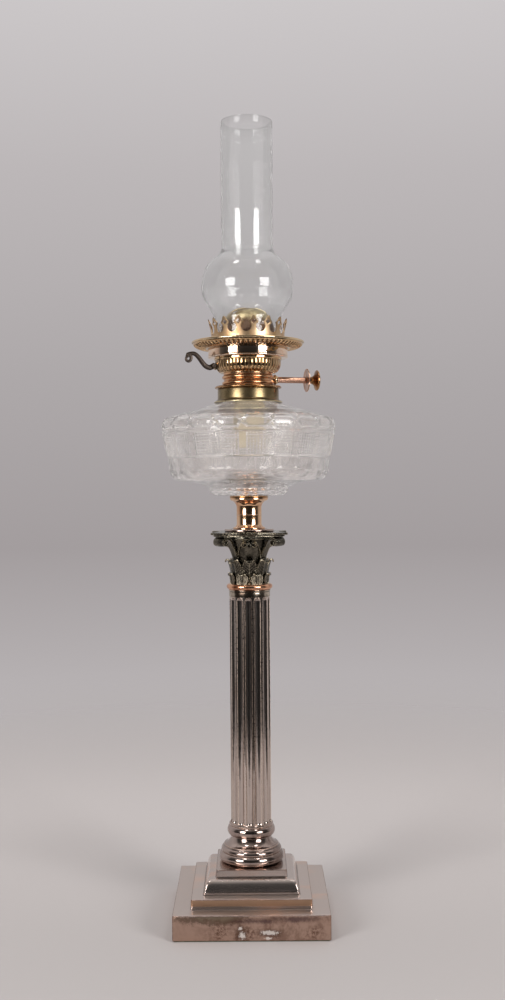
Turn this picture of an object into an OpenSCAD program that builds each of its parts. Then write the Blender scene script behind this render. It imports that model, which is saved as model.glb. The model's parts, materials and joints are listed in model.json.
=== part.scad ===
// Table kerosene lamp. A square stepped base carries a fluted column with a Corinthian capital,
// a cut glass oil font, a two wick burner with concentric winders and an extinguisher lever,
// a gallery with a pierced crown, and a bulged glass chimney.
// Millimetres, +Z up. The origin is the middle of the base, on the table.

/* [Base] */
// Width of the square plinth
plinth_w = 142; // [130:1:160]
// Height of the plinth above the table
plinth_h = 23.5; // [20:0.5:28]
// Width of the flat step on the plinth
step_w = 110; // [104:1:116]
// Height of the flat step
step_h = 8.8; // [7:0.1:12]
// Width of the rounded step at its foot
ovolo_w = 88; // [84:1:96]
// Width of the rounded step at its top
ovolo_top_w = 75.2; // [72:0.4:80]
// Height of the rounded step
ovolo_h = 13; // [10:0.5:16]
// Width of the top block
block_w = 65.2; // [64:0.4:70]
// Height of the top block
block_h = 6.7; // [5:0.1:9]
// Thickness of the stamped base shell
shell_t = 1.2; // [0.8:0.1:1.6]
// Radius of the worn outer edges of the shell
edge_r = 1.1; // [0.6:0.1:1.5]
// Height of the shell rim above the table
rim_gap = 0.9; // [0.5:0.1:1.2]
// Thickness of the baize under the base
baize_t = 1.4; // [1:0.1:2]
// Thickness of the wooden closing board
board_t = 6; // [5:0.5:8]
// Width of the cast iron weight
weight_w = 100; // [90:1:104]
// Thickness of the plate of the weight
weight_t = 12; // [9:0.5:14]
// Diameter of the boss that carries the shell
weight_boss_d = 44; // [36:1:50]
// Diameter of a board screw shank
screw_d = 4; // [3:0.5:5]

/* [Column] */
// Greatest radius of the lower torus of the column foot
foot_r = 30.7; // [29.5:0.1:31.5]
// Height of the column foot
foot_h = 34.9; // [33:0.1:38]
// Outside radius of the fluted shaft
shaft_r = 19; // [18:0.2:20]
// Length of the fluted shaft
shaft_l = 214.9; // [180:0.5:240]
// Bore radius of the shaft
shaft_bore_r = 15.4; // [14:0.1:15.6]
// Number of flutes
flute_count = 14; // [12:1:16]
// Width of one flute across its mouth
flute_w = 6.4; // [5.4:0.1:6.8]
// Depth of one flute under its mouth
flute_d = 1.7; // [1.2:0.1:1.9]
// Turn of the flutes about the column
flute_turn = 3.7; // [0:0.1:25]
// Radius of the copper astragal under the capital
astragal_r = 21.8; // [21:0.1:23]
// Height of the neck ring with its astragal
neck_ring_h = 12.2; // [11.4:0.1:14]
// Diameter of the tie rod through the column
tie_rod_d = 6; // [5:0.5:8]

/* [Capital] */
// Height of the capital under its abacus
capital_h = 44.9; // [44:0.1:47]
// Radius of the capital bell at its foot
bell_r = 15.2; // [15:0.1:15.6]
// Leaves in each of the two rows
leaf_count = 8; // [6:2:8]
// Height of a lower leaf to its curl
lower_leaf_h = 8.6; // [7.6:0.1:10]
// Height of an upper leaf to its curl
upper_leaf_h = 21.8; // [20:0.1:23]
// Thickness of a leaf
leaf_t = 0.9; // [0.8:0.05:1]
// Radius of a corner volute
volute_r = 4.7; // [4.2:0.1:5]
// Width of a corner volute
volute_w = 13; // [10:0.5:14]
// Distance of the outer face of a volute from the lamp axis
volute_reach = 41.3; // [40:0.1:42]
// Half width of the abacus
abacus_half = 35.7; // [35:0.1:37]
// Width of a cut corner of the abacus
abacus_corner_w = 17; // [15:0.5:19]
// How far each side of the abacus is hollowed
abacus_hollow = 8.2; // [6:0.1:9]
// Thickness of the abacus
abacus_t = 4; // [3:0.1:5]
// Radius of the disc on the abacus
cap_disc_r = 23.5; // [22:0.1:24.5]
// Thickness of the disc on the abacus
cap_disc_t = 2.6; // [2:0.1:3.4]

/* [Font] */
// Height of the copper font socket
socket_h = 29.1; // [27:0.1:32]
// Outside radius of the socket tube
socket_r = 11.9; // [11.6:0.1:12.6]
// Wall of the socket tube
socket_wall = 1.5; // [1.2:0.1:1.7]
// Radius of the flange at the top of the socket
socket_flange_r = 18.15; // [16.6:0.1:20]
// Thickness of the ferrule flange under the glass
ferrule_t = 2.3; // [1.8:0.1:3]
// Greatest radius of the glass font
font_r = 81.9; // [78:0.1:86]
// Radius of the scalloped foot of the glass
font_foot_r = 37.1; // [36:0.1:39]
// Height of the glass under its fine cut band
font_low_h = 38.4; // [37:0.1:41]
// Height of the fine cut band
font_band_h = 21.9; // [19:0.1:25]
// Height of the shoulder from the band to the neck
font_shoulder_h = 27.1; // [26:0.1:29]
// Wall of the glass font at its side
font_wall = 5.4; // [4.6:0.1:6]
// Cut panels round the font
panel_count = 20; // [16:1:24]
// Outside radius of the glass neck
glass_neck_r = 27.3; // [26.8:0.1:27.6]
// Wall of the brass collar
collar_wall = 1.4; // [1.1:0.1:1.8]
// Radius of the flared foot of the collar
collar_flare_r = 32.2; // [31:0.1:34]
// Height of the collar
collar_h = 13.3; // [12.6:0.1:15]

/* [Burner] */
// Turn of the burner on its collar
burner_turn = 13; // [0:1:40]
// Radius of the burner flange on the collar
flange_r = 31.6; // [30:0.1:34]
// Thickness of the burner flange
flange_t = 3; // [2.4:0.1:3.6]
// Radius of the burner neck
neck_r = 23.8; // [23.4:0.1:24.2]
// Height of the burner neck
neck_h = 11.6; // [11.6:0.1:13]
// Radius of the bowl at its top
bowl_r = 31; // [30:0.1:32]
// Height of the gadrooned bowl
bowl_h = 14; // [13:0.1:16]
// Gadroons round the bowl
gadroon_count = 48; // [36:4:60]
// Radius of the plain drum
drum_r = 37.6; // [36.6:0.1:39]
// Height of the plain drum
drum_h = 9; // [8:0.1:11]
// Sheet thickness of the burner
sheet_t = 0.9; // [0.8:0.1:1]
// Width of a wick
wick_w = 25; // [22:0.5:27]
// Thickness of a wick
wick_t = 2.8; // [2.4:0.1:3]
// Wall of a wick tube
tube_t = 0.5; // [0.4:0.1:0.6]
// Length of a wick tube above the burner plate
tube_rise = 65.6; // [62:0.2:66]
// Length of a wick under the burner plate
wick_drop = 57; // [40:1:70]

/* [Winders] */
// Distance of the winder disc from the lamp axis
disc_reach = 56.4; // [52:0.2:62]
// Diameter of the winder disc
disc_d = 21.9; // [20:0.1:25]
// Thickness of the winder disc
disc_t = 1.5; // [1.2:0.1:2]
// Diameter of the mushroom knob
knob_d = 19.5; // [17:0.1:21]
// Length of the mushroom knob
knob_l = 11.4; // [9:0.1:14]
// Outside diameter of the winder sleeve
sleeve_d = 5.8; // [5.4:0.1:6]
// Diameter of the inner spindle
spindle_d = 2.5; // [2.3:0.1:2.6]
// Distance between the winder axis and a feed shaft
shaft_gap = 5; // [5:0.05:5.2]
// Radial play of a turning fit
run_gap = 0.05; // [0.03:0.01:0.08]

/* [Extinguisher] */
// Height of the lever pivot above the foot of the bowl
pivot_rise = 6.7; // [6.2:0.1:7.4]
// Distance of the lever pivot outside the bowl
pivot_out = 2.2; // [2.1:0.1:2.5]
// Width of the lever bar in the plane of its curve
lever_w = 4.4; // [3.8:0.1:4.8]
// Thickness of the lever
lever_t = 3; // [2.4:0.1:3.2]
// Diameter of the pivot pin
pivot_d = 2; // [1.8:0.1:2.2]
// Lift of the snuffer sleeves
snuffer_lift = 6.5; // [5:0.1:6.5]

/* [Gallery and chimney] */
// Radius of the rolled rim of the gallery
gallery_r = 53.2; // [50:0.1:56]
// Height of the gallery rim above the drum
gallery_rise = 6.9; // [6:0.1:9]
// Pressed ribs under the gallery
dish_rib_count = 48; // [36:4:60]
// Points of the pierced crown
crown_count = 16; // [12:1:20]
// Outside radius of the crown at its foot
crown_r = 33.7; // [33.6:0.1:34.2]
// Outward lean of the crown points
crown_lean = 3.4; // [2:0.1:5]
// Height of the crown
crown_h = 26.4; // [23:0.1:28]
// Outside radius of the chimney foot
chimney_r = 31.7; // [31:0.1:31.8]
// Length of the chimney
chimney_l = 211.6; // [190:0.1:240]
// Greatest radius of the chimney bulge
bulge_r = 43.6; // [41:0.1:46]
// Outside radius of the chimney tube
chimney_top_r = 24.6; // [23:0.1:26]
// Thickness of the chimney glass
chimney_t = 1.8; // [1.5:0.1:2.2]
// Greatest radius of the deflector dome
dome_r = 25.5; // [25:0.1:27]
// Height of the deflector dome
dome_h = 35.6; // [35.6:0.1:38]

/* [Hidden] */
$fn = 64;
seat = 0.25;
half_plinth = plinth_w / 2;
z_step = plinth_h + step_h;
z_ovolo = z_step + ovolo_h;
z_block = z_ovolo + block_h;
z_board = baize_t + board_t;
z_shaft = z_block + foot_h;
z_neck_ring = z_shaft + shaft_l;
z_capital = z_neck_ring + neck_ring_h;
z_abacus = z_capital + capital_h;
z_cap_disc = z_abacus + abacus_t;
z_socket = z_cap_disc + cap_disc_t;
z_ferrule = z_socket + socket_h;
z_font = z_ferrule + ferrule_t;
font_h = font_low_h + font_band_h + font_shoulder_h;
glass_neck_h = collar_h - 3.5;
boss_r = 13.4;
boss_h = 7;
arm_reach = 5;
arm_w = 5;
arm_gap = 0.6;
z_glass_neck = z_font + font_h;
z_collar = z_glass_neck - 0.1;
z_burner = z_collar + collar_h;
z_plate = z_burner + flange_t;
z_bowl = z_plate + neck_h;
z_drum = z_bowl + bowl_h;
z_gallery = z_drum + drum_h;
z_floor = z_gallery + 2;
z_rim = z_gallery + gallery_rise;
z_winder = z_plate + 5.9;
z_tube_top = z_plate + tube_rise;
collar_r = glass_neck_r + 0.1 + collar_wall;
skirt_r = collar_r - 5;
socket_bore_r = socket_r - socket_wall;
bell_waist = 18;
pitch_r = shaft_gap / 2;
star_r = pitch_r + 0.3;
gear_r = star_r;
teeth = 8;
wick_y = shaft_gap + star_r + 0.05 + wick_t / 2;
tube_gap = 0.2;
tube_in_t = wick_t + 2 * tube_gap;
tube_in_w = wick_w + 2 * tube_gap;
tube_out_t = tube_in_t + 2 * tube_t;
tube_out_w = tube_in_w + 2 * tube_t;
z_pivot = z_bowl + pivot_rise;
pivot_reach = bowl_r + pivot_out;
tail_end = 16.6;
lever_tail = pivot_reach - tail_end;

// Points on an arc from angle a to angle b, as [radius, height] pairs
function arc(c, r, a, b, n = 8) =
    [for (i = [0:n]) c + r * [cos(a + (b - a) * i / n), sin(a + (b - a) * i / n)]];

// Points on a quarter of an ellipse
function bow(c, rx, rz, a, b, n = 8) =
    [for (i = [0:n]) c + [rx * cos(a + (b - a) * i / n), rz * sin(a + (b - a) * i / n)]];

// A list of points in the opposite order, mirrored about the axis
function mirrored(p) = [for (i = [len(p) - 1:-1:0]) [-p[i][0], p[i][1]]];

// A square moulding whose four mitred sides follow one half outline
module mitred(half) {
    outline = concat(half, mirrored(half));
    w = 2 * max([for (p = half) p[0]]) + 2;
    intersection() {
        rotate([90, 0, 0]) linear_extrude(w, center = true) polygon(outline);
        rotate([90, 0, 90]) linear_extrude(w, center = true) polygon(outline);
    }
}

module square_slab(w, z0, z1) {
    translate([-w / 2, -w / 2, z0]) cube([w, w, z1 - z0]);
}

module ring_of(n, turn = 0) {
    for (i = [0:n - 1]) rotate(i * 360 / n + turn) children();
}

// Places its children at the four board screws
module at_screws() {
    reach = weight_w / 2 - 12;
    for (x = [-1, 1], y = [-1, 1]) translate([x * reach, y * reach, 0]) children();
}

// Base

module baize_pad() {
    w = plinth_w - 2 * shell_t - 1;
    color("darkolivegreen") square_slab(w, 0, baize_t);
}

module base_board() {
    w = plinth_w - 2 * shell_t - 0.6;
    color("saddlebrown") difference() {
        square_slab(w, baize_t, z_board);
        translate([0, 0, baize_t + 2]) cylinder(r = 15, h = board_t);
        at_screws() {
            translate([0, 0, baize_t - 1]) cylinder(r = screw_d / 2 + 0.1, h = board_t + 2);
            translate([0, 0, baize_t]) cylinder(r1 = screw_d + 0.1, r2 = screw_d / 2 + 0.1, h = screw_d / 2);
        }
    }
}

module board_screws() {
    color("goldenrod") at_screws() {
        translate([0, 0, baize_t]) difference() {
            union() {
                cylinder(r = screw_d / 2, h = board_t + 7);
                cylinder(r1 = screw_d, r2 = screw_d / 2, h = screw_d / 2);
            }
            translate([-screw_d, -0.4, -1]) cube([2 * screw_d, 0.8, 1.8]);
        }
    }
}

module base_weight() {
    color("dimgray") difference() {
        union() {
            square_slab(weight_w, z_board, z_board + weight_t);
            translate([0, 0, z_board]) cylinder(d = weight_boss_d, h = z_block - shell_t - z_board);
        }
        cylinder(d = tie_rod_d + 0.6, h = z_block);
        at_screws() translate([0, 0, z_board - 1]) cylinder(r = screw_d / 2 + 0.05, h = 9);
        translate([0, 0, z_board - 1]) cylinder(r = 12, h = 9);
    }
}

// Half outline of the stamped shell, from its rim to the middle of its top
function shell_outline() = concat(
    [[half_plinth, rim_gap]],
    arc([half_plinth - edge_r, plinth_h - edge_r], edge_r, 0, 90, 4),
    [[step_w / 2, plinth_h]],
    arc([step_w / 2 - edge_r, z_step - edge_r], edge_r, 0, 90, 4),
    [[ovolo_w / 2, z_step], [ovolo_w / 2, z_step + 1.3]],
    bow([ovolo_top_w / 2, z_step + 1.8], (ovolo_w - ovolo_top_w) / 2 - 0.8, ovolo_h - 1.8, 0, 90, 9),
    [[block_w / 2, z_ovolo]],
    arc([block_w / 2 - edge_r, z_block - edge_r], edge_r, 0, 90, 4)
);

module base_shell() {
    t = shell_t;
    color("darkgray") difference() {
        mitred(shell_outline());
        square_slab(plinth_w - 2 * t, -1, plinth_h - t);
        square_slab(step_w - 2 * t, plinth_h - t - 1, z_step - t);
        square_slab(ovolo_top_w - 2 * t - 1, z_step - t - 1, z_ovolo - t);
        square_slab(block_w - 2 * t, z_ovolo - t - 1, z_block - t);
        translate([0, 0, z_block - 5]) cylinder(d = tie_rod_d + 0.6, h = 10);
    }
}

module tie_rod() {
    z0 = z_board - 2;
    color("gray") translate([0, 0, z0]) cylinder(d = tie_rod_d, h = z_socket + 13 - z0);
}

module hex_nut(z) {
    translate([0, 0, z]) difference() {
        cylinder(r = 6.2, h = 5, $fn = 6);
        translate([0, 0, -1]) cylinder(d = tie_rod_d + 0.1, h = 7);
    }
}

module tie_nuts() {
    color("darkgoldenrod") {
        hex_nut(z_board + 8 - 1.6 - 5);
        hex_nut(z_socket + 6);
    }
}

module tie_washer() {
    color("silver") translate([0, 0, z_board + 8 - 1.6]) difference() {
        cylinder(r = 10.5, h = 1.6);
        translate([0, 0, -1]) cylinder(d = tie_rod_d + 0.4, h = 4);
    }
}

// Column

// Attic base: torus, quarter round, lip, hollow, torus and fillet
module column_foot() {
    low = 5.3;
    high = 5.1;
    neck = foot_r - 5.5;
    outline = concat(
        [[22, 0], [foot_r - low, 0]],
        arc([foot_r - low, low], low, -90, 78, 12),
        [[foot_r - 2.4, 2 * low - 0.3], [foot_r - 2.4, 11.3]],
        arc([neck, 11.3], 3.2, 0, 75, 6),
        [[neck + 0.5, 15], [neck + 0.5, 16.2]],
        arc([neck + 3.1, foot_h - 9], 10, 250, 188, 9),
        [[shaft_r - 1.1, foot_h - 11.3]],
        bow([shaft_r - 1.5, foot_h - 5.6], high, 5.7, -82, 62, 12),
        [[shaft_r + 1.7, foot_h - 0.8], [shaft_r + 1.7, foot_h], [shaft_bore_r - 2, foot_h],
         [shaft_bore_r - 2, 18], [22, 8]]
    );
    color("gray") translate([0, 0, z_block]) rotate_extrude() polygon(outline);
}

// Tube cut by round flutes with ball ends
module fluted_shaft() {
    cut_r = (flute_w * flute_w / 4 + flute_d * flute_d) / (2 * flute_d);
    mouth = shaft_r * cos(asin(flute_w / 2 / shaft_r));
    reach = mouth + cut_r - flute_d;
    end = 4.2 + cut_r / 2;
    color("gray") translate([0, 0, z_shaft]) difference() {
        cylinder(r = shaft_r, h = shaft_l);
        translate([0, 0, -1]) cylinder(r = shaft_bore_r, h = shaft_l + 2);
        ring_of(flute_count, -90 - flute_turn) translate([reach, 0, end]) {
            cylinder(r = cut_r, h = shaft_l - 2 * end, $fn = 32);
            sphere(r = cut_r, $fn = 32);
            translate([0, 0, shaft_l - 2 * end]) sphere(r = cut_r, $fn = 32);
        }
    }
}

module neck_ring() {
    bead = 2.65;
    outline = concat(
        [[12.5, 0], [shaft_r + 0.5, 0], [shaft_r + 0.5, 4.6], [shaft_r - 0.1, 4.9],
         [shaft_r - 0.1, 5.3], [shaft_r + 0.9, 5.4], [shaft_r + 0.9, 6.8]],
        arc([astragal_r - bead, neck_ring_h - bead], bead, -90, 90, 12),
        [[12.5, neck_ring_h]]
    );
    color("peru") translate([0, 0, z_neck_ring]) rotate_extrude() polygon(outline);
}

// Capital

// Radius of the bell at a height above its foot
function bell_at(h) = bell_r + 10 * pow(max(0, h - bell_waist) / (capital_h - bell_waist), 1.6);

// The bell with a margin all over, from its foot to the underside of the abacus
module bell_solid(margin, bore) {
    steps = 12;
    lip = 2.4;
    outline = concat(
        [[bore, 0], [bell_r + margin, 0]],
        [for (i = [0:steps]) let (h = bell_waist + (capital_h - lip - bell_waist) * i / steps)
            [bell_at(h) + margin, h - margin]],
        [[bell_r + 10 + margin, capital_h - lip - margin], [bell_r + 10 + margin, capital_h], [bore, capital_h]]
    );
    rotate_extrude() polygon(outline);
}

module capital_bell() {
    color("dimgray") translate([0, 0, z_capital]) bell_solid(0, 11);
}

// One acanthus leaf: a lobed sheet that climbs the bell and rolls over at its tip.
// root is the radius of its back, rise its height to the curl, w its half width.
function leaf_spine(v, root, rise, lean, curl) =
    v < 0.7
    ? [root + lean * pow(v / 0.7, 2), rise * v / 0.7]
    : let (a = 180 - 215 * (v - 0.7) / 0.3) [root + lean + curl + curl * cos(a), rise + curl * sin(a)];

function leaf_half(v, w) =
    w * (v < 0.7 ? 0.72 + 0.28 * sin(180 * v / 0.7) : 0.72 - 0.5 * (v - 0.7) / 0.3)
    * (1 + 0.17 * cos(360 * 3.5 * v));

function leaf_point(u, v, depth, root, rise, lean, curl, w) =
    let (
        e = 0.02,
        p = leaf_spine(v, root, rise, lean, curl),
        q = leaf_spine(min(1, v + e), root, rise, lean, curl),
        o = leaf_spine(max(0, v - e), root, rise, lean, curl),
        d = (q - o) / norm(q - o),
        n = [d[1], -d[0]],
        side = u * leaf_half(v, w),
        lift = depth + (depth > 0 ? 0.75 * pow(1 - abs(u), 2) + 0.35 * u * u : 0),
        r = p[0] + n[0] * lift,
        z = max(0, p[1] + n[1] * lift),
        a = side / max(root, 1) * 180 / PI
    ) [r * cos(a), r * sin(a), z];

module acanthus(root, rise, lean, curl, w) {
    nu = 4;
    nv = 14;
    row = nu + 1;
    count = row * (nv + 1);
    front = [for (j = [0:nv], i = [0:nu])
        leaf_point(2 * i / nu - 1, j / nv, leaf_t, root, rise, lean, curl, w)];
    back = [for (j = [0:nv], i = [0:nu])
        leaf_point(2 * i / nu - 1, j / nv, 0, root, rise, lean, curl, w)];
    faces = concat(
        [for (j = [0:nv - 1], i = [0:nu - 1]) let (k = j * row + i) [k, k + row + 1, k + 1]],
        [for (j = [0:nv - 1], i = [0:nu - 1]) let (k = j * row + i) [k, k + row, k + row + 1]],
        [for (j = [0:nv - 1], i = [0:nu - 1]) let (k = count + j * row + i) [k, k + 1, k + row + 1]],
        [for (j = [0:nv - 1], i = [0:nu - 1]) let (k = count + j * row + i) [k, k + row + 1, k + row]],
        [for (i = [0:nu - 1]) [i, i + 1, count + i + 1, count + i]],
        [for (i = [0:nu - 1]) let (k = nv * row + i) [k + 1, k, count + k, count + k + 1]],
        [for (j = [0:nv - 1]) let (k = j * row) [k + row, k, count + k, count + k + row]],
        [for (j = [0:nv - 1]) let (k = j * row + nu) [k, k + row, count + k + row, count + k]]
    );
    polyhedron(concat(front, back), faces);
}

module lower_leaves() {
    color("gray") translate([0, 0, z_capital]) ring_of(leaf_count, 180 / leaf_count)
        acanthus(bell_r + 2 * seat + leaf_t + 0.8, lower_leaf_h - 1.4, 0.3, 1.25, 5.6);
}

module upper_leaves() {
    color("gray") translate([0, 0, z_capital]) ring_of(leaf_count)
        acanthus(bell_r + seat, upper_leaf_h - 2, 2.6, 1.9, 5.4);
}

// Spiral band in a plane: a rising stem that rolls up round a centre
function spiral_point(c, r0, a0, turns, s) =
    c + (r0 - (r0 - 1) * s) * [cos(a0 - 360 * turns * s), sin(a0 - 360 * turns * s)];

module scroll(c, r, stem, band, turns, a0) {
    n = round(16 * turns);
    path = concat(stem, [for (i = [0:n]) spiral_point(c, r - band / 2, a0, turns, i / n)]);
    k = len(path) - 1;
    normals = [for (i = [0:k])
        let (d = path[min(k, i + 1)] - path[max(0, i - 1)]) [-d[1], d[0]] / norm(d)];
    width = [for (i = [0:k]) band * (1 - 0.4 * i / k)];
    polygon(concat(
        [for (i = [0:k]) path[i] + normals[i] * width[i] / 2],
        [for (i = [k:-1:0]) path[i] - normals[i] * width[i] / 2]
    ));
}

// Four wide scrolls that carry the corners of the abacus
module corner_volutes() {
    zc = capital_h - 0.3 - volute_r;
    rc = volute_reach - volute_r;
    h = capital_h - 45;
    stem = [[17.8, h + 25], [20.3, h + 30], [22.6, h + 34], [25.8, h + 38.6], [30, h + 42.2]];
    half = volute_w / 2;
    color("gray") translate([0, 0, z_capital]) ring_of(4, 45) intersection() {
        rotate([90, 0, 0]) linear_extrude(volute_w, center = true)
            scroll([rc, zc], volute_r, stem, 2, 1.45, 105);
        linear_extrude(capital_h)
            polygon([[16, -3], [27, -3.4], [34, -half], [44, -half],
                     [44, half], [34, half], [27, 3.4], [16, 3]]);
    }
}

// Small scrolls in pairs that meet under the flower on each side, cut to sit on the bell
module helices() {
    face = bell_r + 7.4;
    h = capital_h - 45;
    stem = [[0.2, h + 27], [0.4, h + 31], [1.2, h + 34.6], [2.4, h + 37.6]];
    color("gray") translate([0, 0, z_capital]) difference() {
        ring_of(4) for (side = [-1, 1])
            translate([bell_r + 1, 0, 0]) rotate([90, 0, 90]) linear_extrude(face - bell_r - 1)
                scale([side, 1]) mirror([1, 0]) translate([-10.4, 0])
                    scroll([4.9, h + 36.6], 3, stem, 1.2, 1.2, 140);
        bell_solid(seat, 0);
    }
}

// One small flower under the middle of each side of the abacus, its stalk cut to sit on the bell
module fleurons() {
    petals = 6;
    back = bell_r + 8;
    color("silver") translate([0, 0, z_capital]) difference() {
        ring_of(4) translate([back, 0, capital_h - 6.4]) rotate([0, 90, 0]) {
            for (i = [0:petals - 1]) rotate(i * 360 / petals) translate([2.2, 0, 0])
                cylinder(r1 = 1.5, r2 = 1.1, h = 1.7, $fn = 16);
            translate([0, 0, -4]) cylinder(r = 1.9, h = 5.3, $fn = 20);
            translate([0, 0, 1]) sphere(r = 1.5, $fn = 20);
        }
        bell_solid(seat, 0);
    }
}

// Square with cut corners and hollow sides
module abacus_plan(inset) {
    chord = abacus_half - abacus_corner_w / sqrt(2);
    hollow_r = (chord * chord + abacus_hollow * abacus_hollow) / (2 * abacus_hollow);
    half = abacus_half - inset;
    cut = abacus_corner_w / sqrt(2);
    difference() {
        polygon([
            [half, -half + cut], [half, half - cut], [half - cut, half], [-half + cut, half],
            [-half, half - cut], [-half, -half + cut], [-half + cut, -half], [half - cut, -half]
        ]);
        for (i = [0:3]) rotate(i * 90)
            translate([abacus_half + hollow_r - abacus_hollow, 0]) circle(r = hollow_r + inset, $fn = 96);
    }
}

module abacus() {
    lip = 1.5;
    color("gray") translate([0, 0, z_abacus]) difference() {
        union() {
            linear_extrude(lip) abacus_plan(1.4);
            translate([0, 0, lip]) linear_extrude(abacus_t - lip) abacus_plan(0);
        }
        translate([0, 0, -1]) cylinder(d = tie_rod_d + 0.6, h = abacus_t + 2);
    }
}

module cap_disc() {
    outline = concat(
        [[tie_rod_d / 2 + 0.3, 0], [cap_disc_r - 0.8, 0]],
        arc([cap_disc_r - 1, cap_disc_t / 2], min(1, cap_disc_t / 2 - 0.1), -80, 80, 6),
        [[cap_disc_r - 0.8, cap_disc_t], [tie_rod_d / 2 + 0.3, cap_disc_t]]
    );
    color("silver") translate([0, 0, z_cap_disc]) rotate_extrude() polygon(outline);
}

// Font

// Spool with a flared foot and a dished flange
module font_socket() {
    r = socket_r;
    outline = concat(
        [[tie_rod_d / 2 + 0.3, 0], [15.4, 0], [15.4, 0.7]],
        arc([r + 3.6, 5.2], 3.6, 262, 182, 7),
        [[r, 12.3], [r + 0.5, 12.8], [r + 0.5, 13.6], [r, 14.1], [r, socket_h - 9.1]],
        arc([r + 7, socket_h - 9.1], 7, 176, 104, 8),
        [[socket_flange_r - 0.6, socket_h - 2], [socket_flange_r, socket_h - 1.3], [socket_flange_r, socket_h],
         [socket_bore_r, socket_h], [socket_bore_r, 6], [tie_rod_d / 2 + 0.3, 6]]
    );
    color("peru") translate([0, 0, z_socket]) rotate_extrude() polygon(outline);
}

module font_ferrule() {
    peg_r = socket_bore_r - 0.1;
    color("khaki") translate([0, 0, z_ferrule]) rotate_extrude() polygon([
        [0, -12], [peg_r - 0.8, -12], [peg_r, -11.2], [peg_r, 0], [socket_flange_r, 0],
        [socket_flange_r, ferrule_t - 0.6], [socket_flange_r - 0.8, ferrule_t], [boss_r, ferrule_t],
        [boss_r, ferrule_t + boss_h], [0, ferrule_t + boss_h]
    ]);
}

// Height of the top of the fine cut band, of the top of the round shoulder, and the run from there
// in to the neck, all above the foot of the glass
band_top = font_low_h + font_band_h;
shoulder_top = band_top + 14.5;
shoulder_run = font_r - 9.6 - glass_neck_r;

// Point on the sloping top of the glass, s of the way out from the neck and t of the way up to it
function slope_point(s, t) =
    [glass_neck_r + s * shoulder_run, shoulder_top + t * (font_h - shoulder_top)];

// Outside of the glass before it is cut
function glass_outside() = concat(
    [[0, boss_h + 0.4], [boss_r + 0.2, boss_h + 0.4], [boss_r + 0.2, 0], [font_foot_r - 8.3, 0]],
    bow([font_foot_r - 8.3, 6], 8.3, 6, -80, 0, 6),
    [[font_foot_r, 7.2], [font_foot_r + 1.3, 8.4], [font_foot_r + 9.2, 11.6], [font_r - 25.4, 14.3]],
    bow([font_r - 18.4, font_low_h - 8.9], 12, 14.2, -72, -4, 8),
    [[font_r - 5.6, font_low_h - 1.8], [font_r - 6.6, font_low_h - 1], [font_r - 5.2, font_low_h],
     [font_r - 0.5, band_top], [font_r - 1.3, band_top + 0.9], [font_r - 0.2, band_top + 1.9],
     [font_r, band_top + 3.7]],
    arc([font_r - 7.5, band_top + 5.9], 7.5, 2, 62, 6),
    [slope_point(1, 0), slope_point(0.758, 0.25), slope_point(0.504, 0.44), slope_point(0.238, 0.76),
     slope_point(0.06, 0.94), [glass_neck_r, font_h], [glass_neck_r, font_h + glass_neck_h]]
);

module glass_blank() {
    inner = font_r - font_wall;
    neck = glass_neck_r - 2.3;
    outline = concat(
        glass_outside(),
        [[neck, font_h + glass_neck_h], [neck, font_h - 1.8],
         slope_point(0.19, 0.76) - [0, 4.3], slope_point(0.68, 0.33) - [0, 4.8]],
        arc([inner - 8, band_top + 4.7], 8, 70, 2, 6),
        [[inner - 5, font_low_h + 0.2], [inner - 8, font_low_h - 10.4]],
        arc([inner - 16.4, font_low_h - 10.8], 9, -20, -78, 5),
        [[40, boss_h + 9.4], [0, boss_h + 8.4]]
    );
    rotate_extrude() polygon(outline);
}

// Flat cut on the glass: face centre at radius r and height z, facing up by tilt
module facet_cut(r, z, tilt, w) {
    translate([r, 0, z]) rotate([0, -tilt, 0]) translate([0, -w / 2, -w / 2]) cube([w, w, w]);
}

// Mitre cut: a sharp groove across the face at radius r, turned by roll
module mitre_cut(r, z, lean, roll, l, depth) {
    s = depth * 1.41421;
    translate([r, 0, z]) rotate([0, lean, 0]) rotate([roll, 0, 0])
        rotate([0, 0, 45]) translate([-s / 2, -s / 2, -l / 2]) cube([s, s, l]);
}

module glass_font() {
    step = 360 / panel_count;
    lean = 11.5;
    band_mid = font_low_h + font_band_h / 2;
    color("lightcyan") translate([0, 0, z_font]) difference() {
        rotate(step / 4) glass_blank();
        ring_of(panel_count) {
            facet_cut(font_r - 1.5, band_top + 9.1, 38, 22);
            for (roll = [-24, 24]) mitre_cut(font_r - 2.6, band_mid, lean, roll, font_band_h + 4, 1.3);
        }
        ring_of(panel_count, step / 2) {
            facet_cut(font_r - 13.4, shoulder_top + 1.3, 72, 17);
            mitre_cut(font_r - 2.8, band_mid, lean, 0, font_band_h - 1, 1.5);
            translate([font_r + 1.6, 0, font_low_h - 10]) sphere(r = 10.4, $fn = 32);
        }
        ring_of(24) translate([font_foot_r + 1.5, 0, -1]) cylinder(r = 2.6, h = 8, $fn = 16);
    }
}

module font_collar() {
    r = collar_r;
    inner = glass_neck_r + 0.1;
    outline = concat(
        [[inner, 0.3], [inner + 0.5, 0], [collar_flare_r, 0], [collar_flare_r + 0.1, 0.8],
         [collar_flare_r - 1, 1.6]],
        arc([r + 2.2, 4.2], 2.2, 250, 185, 5),
        [[r, collar_h - 1.4], [r - 0.5, collar_h], [skirt_r + 0.1, collar_h],
         [skirt_r + 0.1, collar_h - 1.6], [inner - 0.4, collar_h - 2.4], [inner, collar_h - 3]]
    );
    color("darkkhaki") translate([0, 0, z_collar]) rotate_extrude() polygon(outline);
}

// Burner

module wick_slots(w, t, z0, z1) {
    for (s = [-1, 1]) translate([-w / 2, s * wick_y - t / 2, z0]) cube([w, t, z1 - z0]);
}

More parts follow.
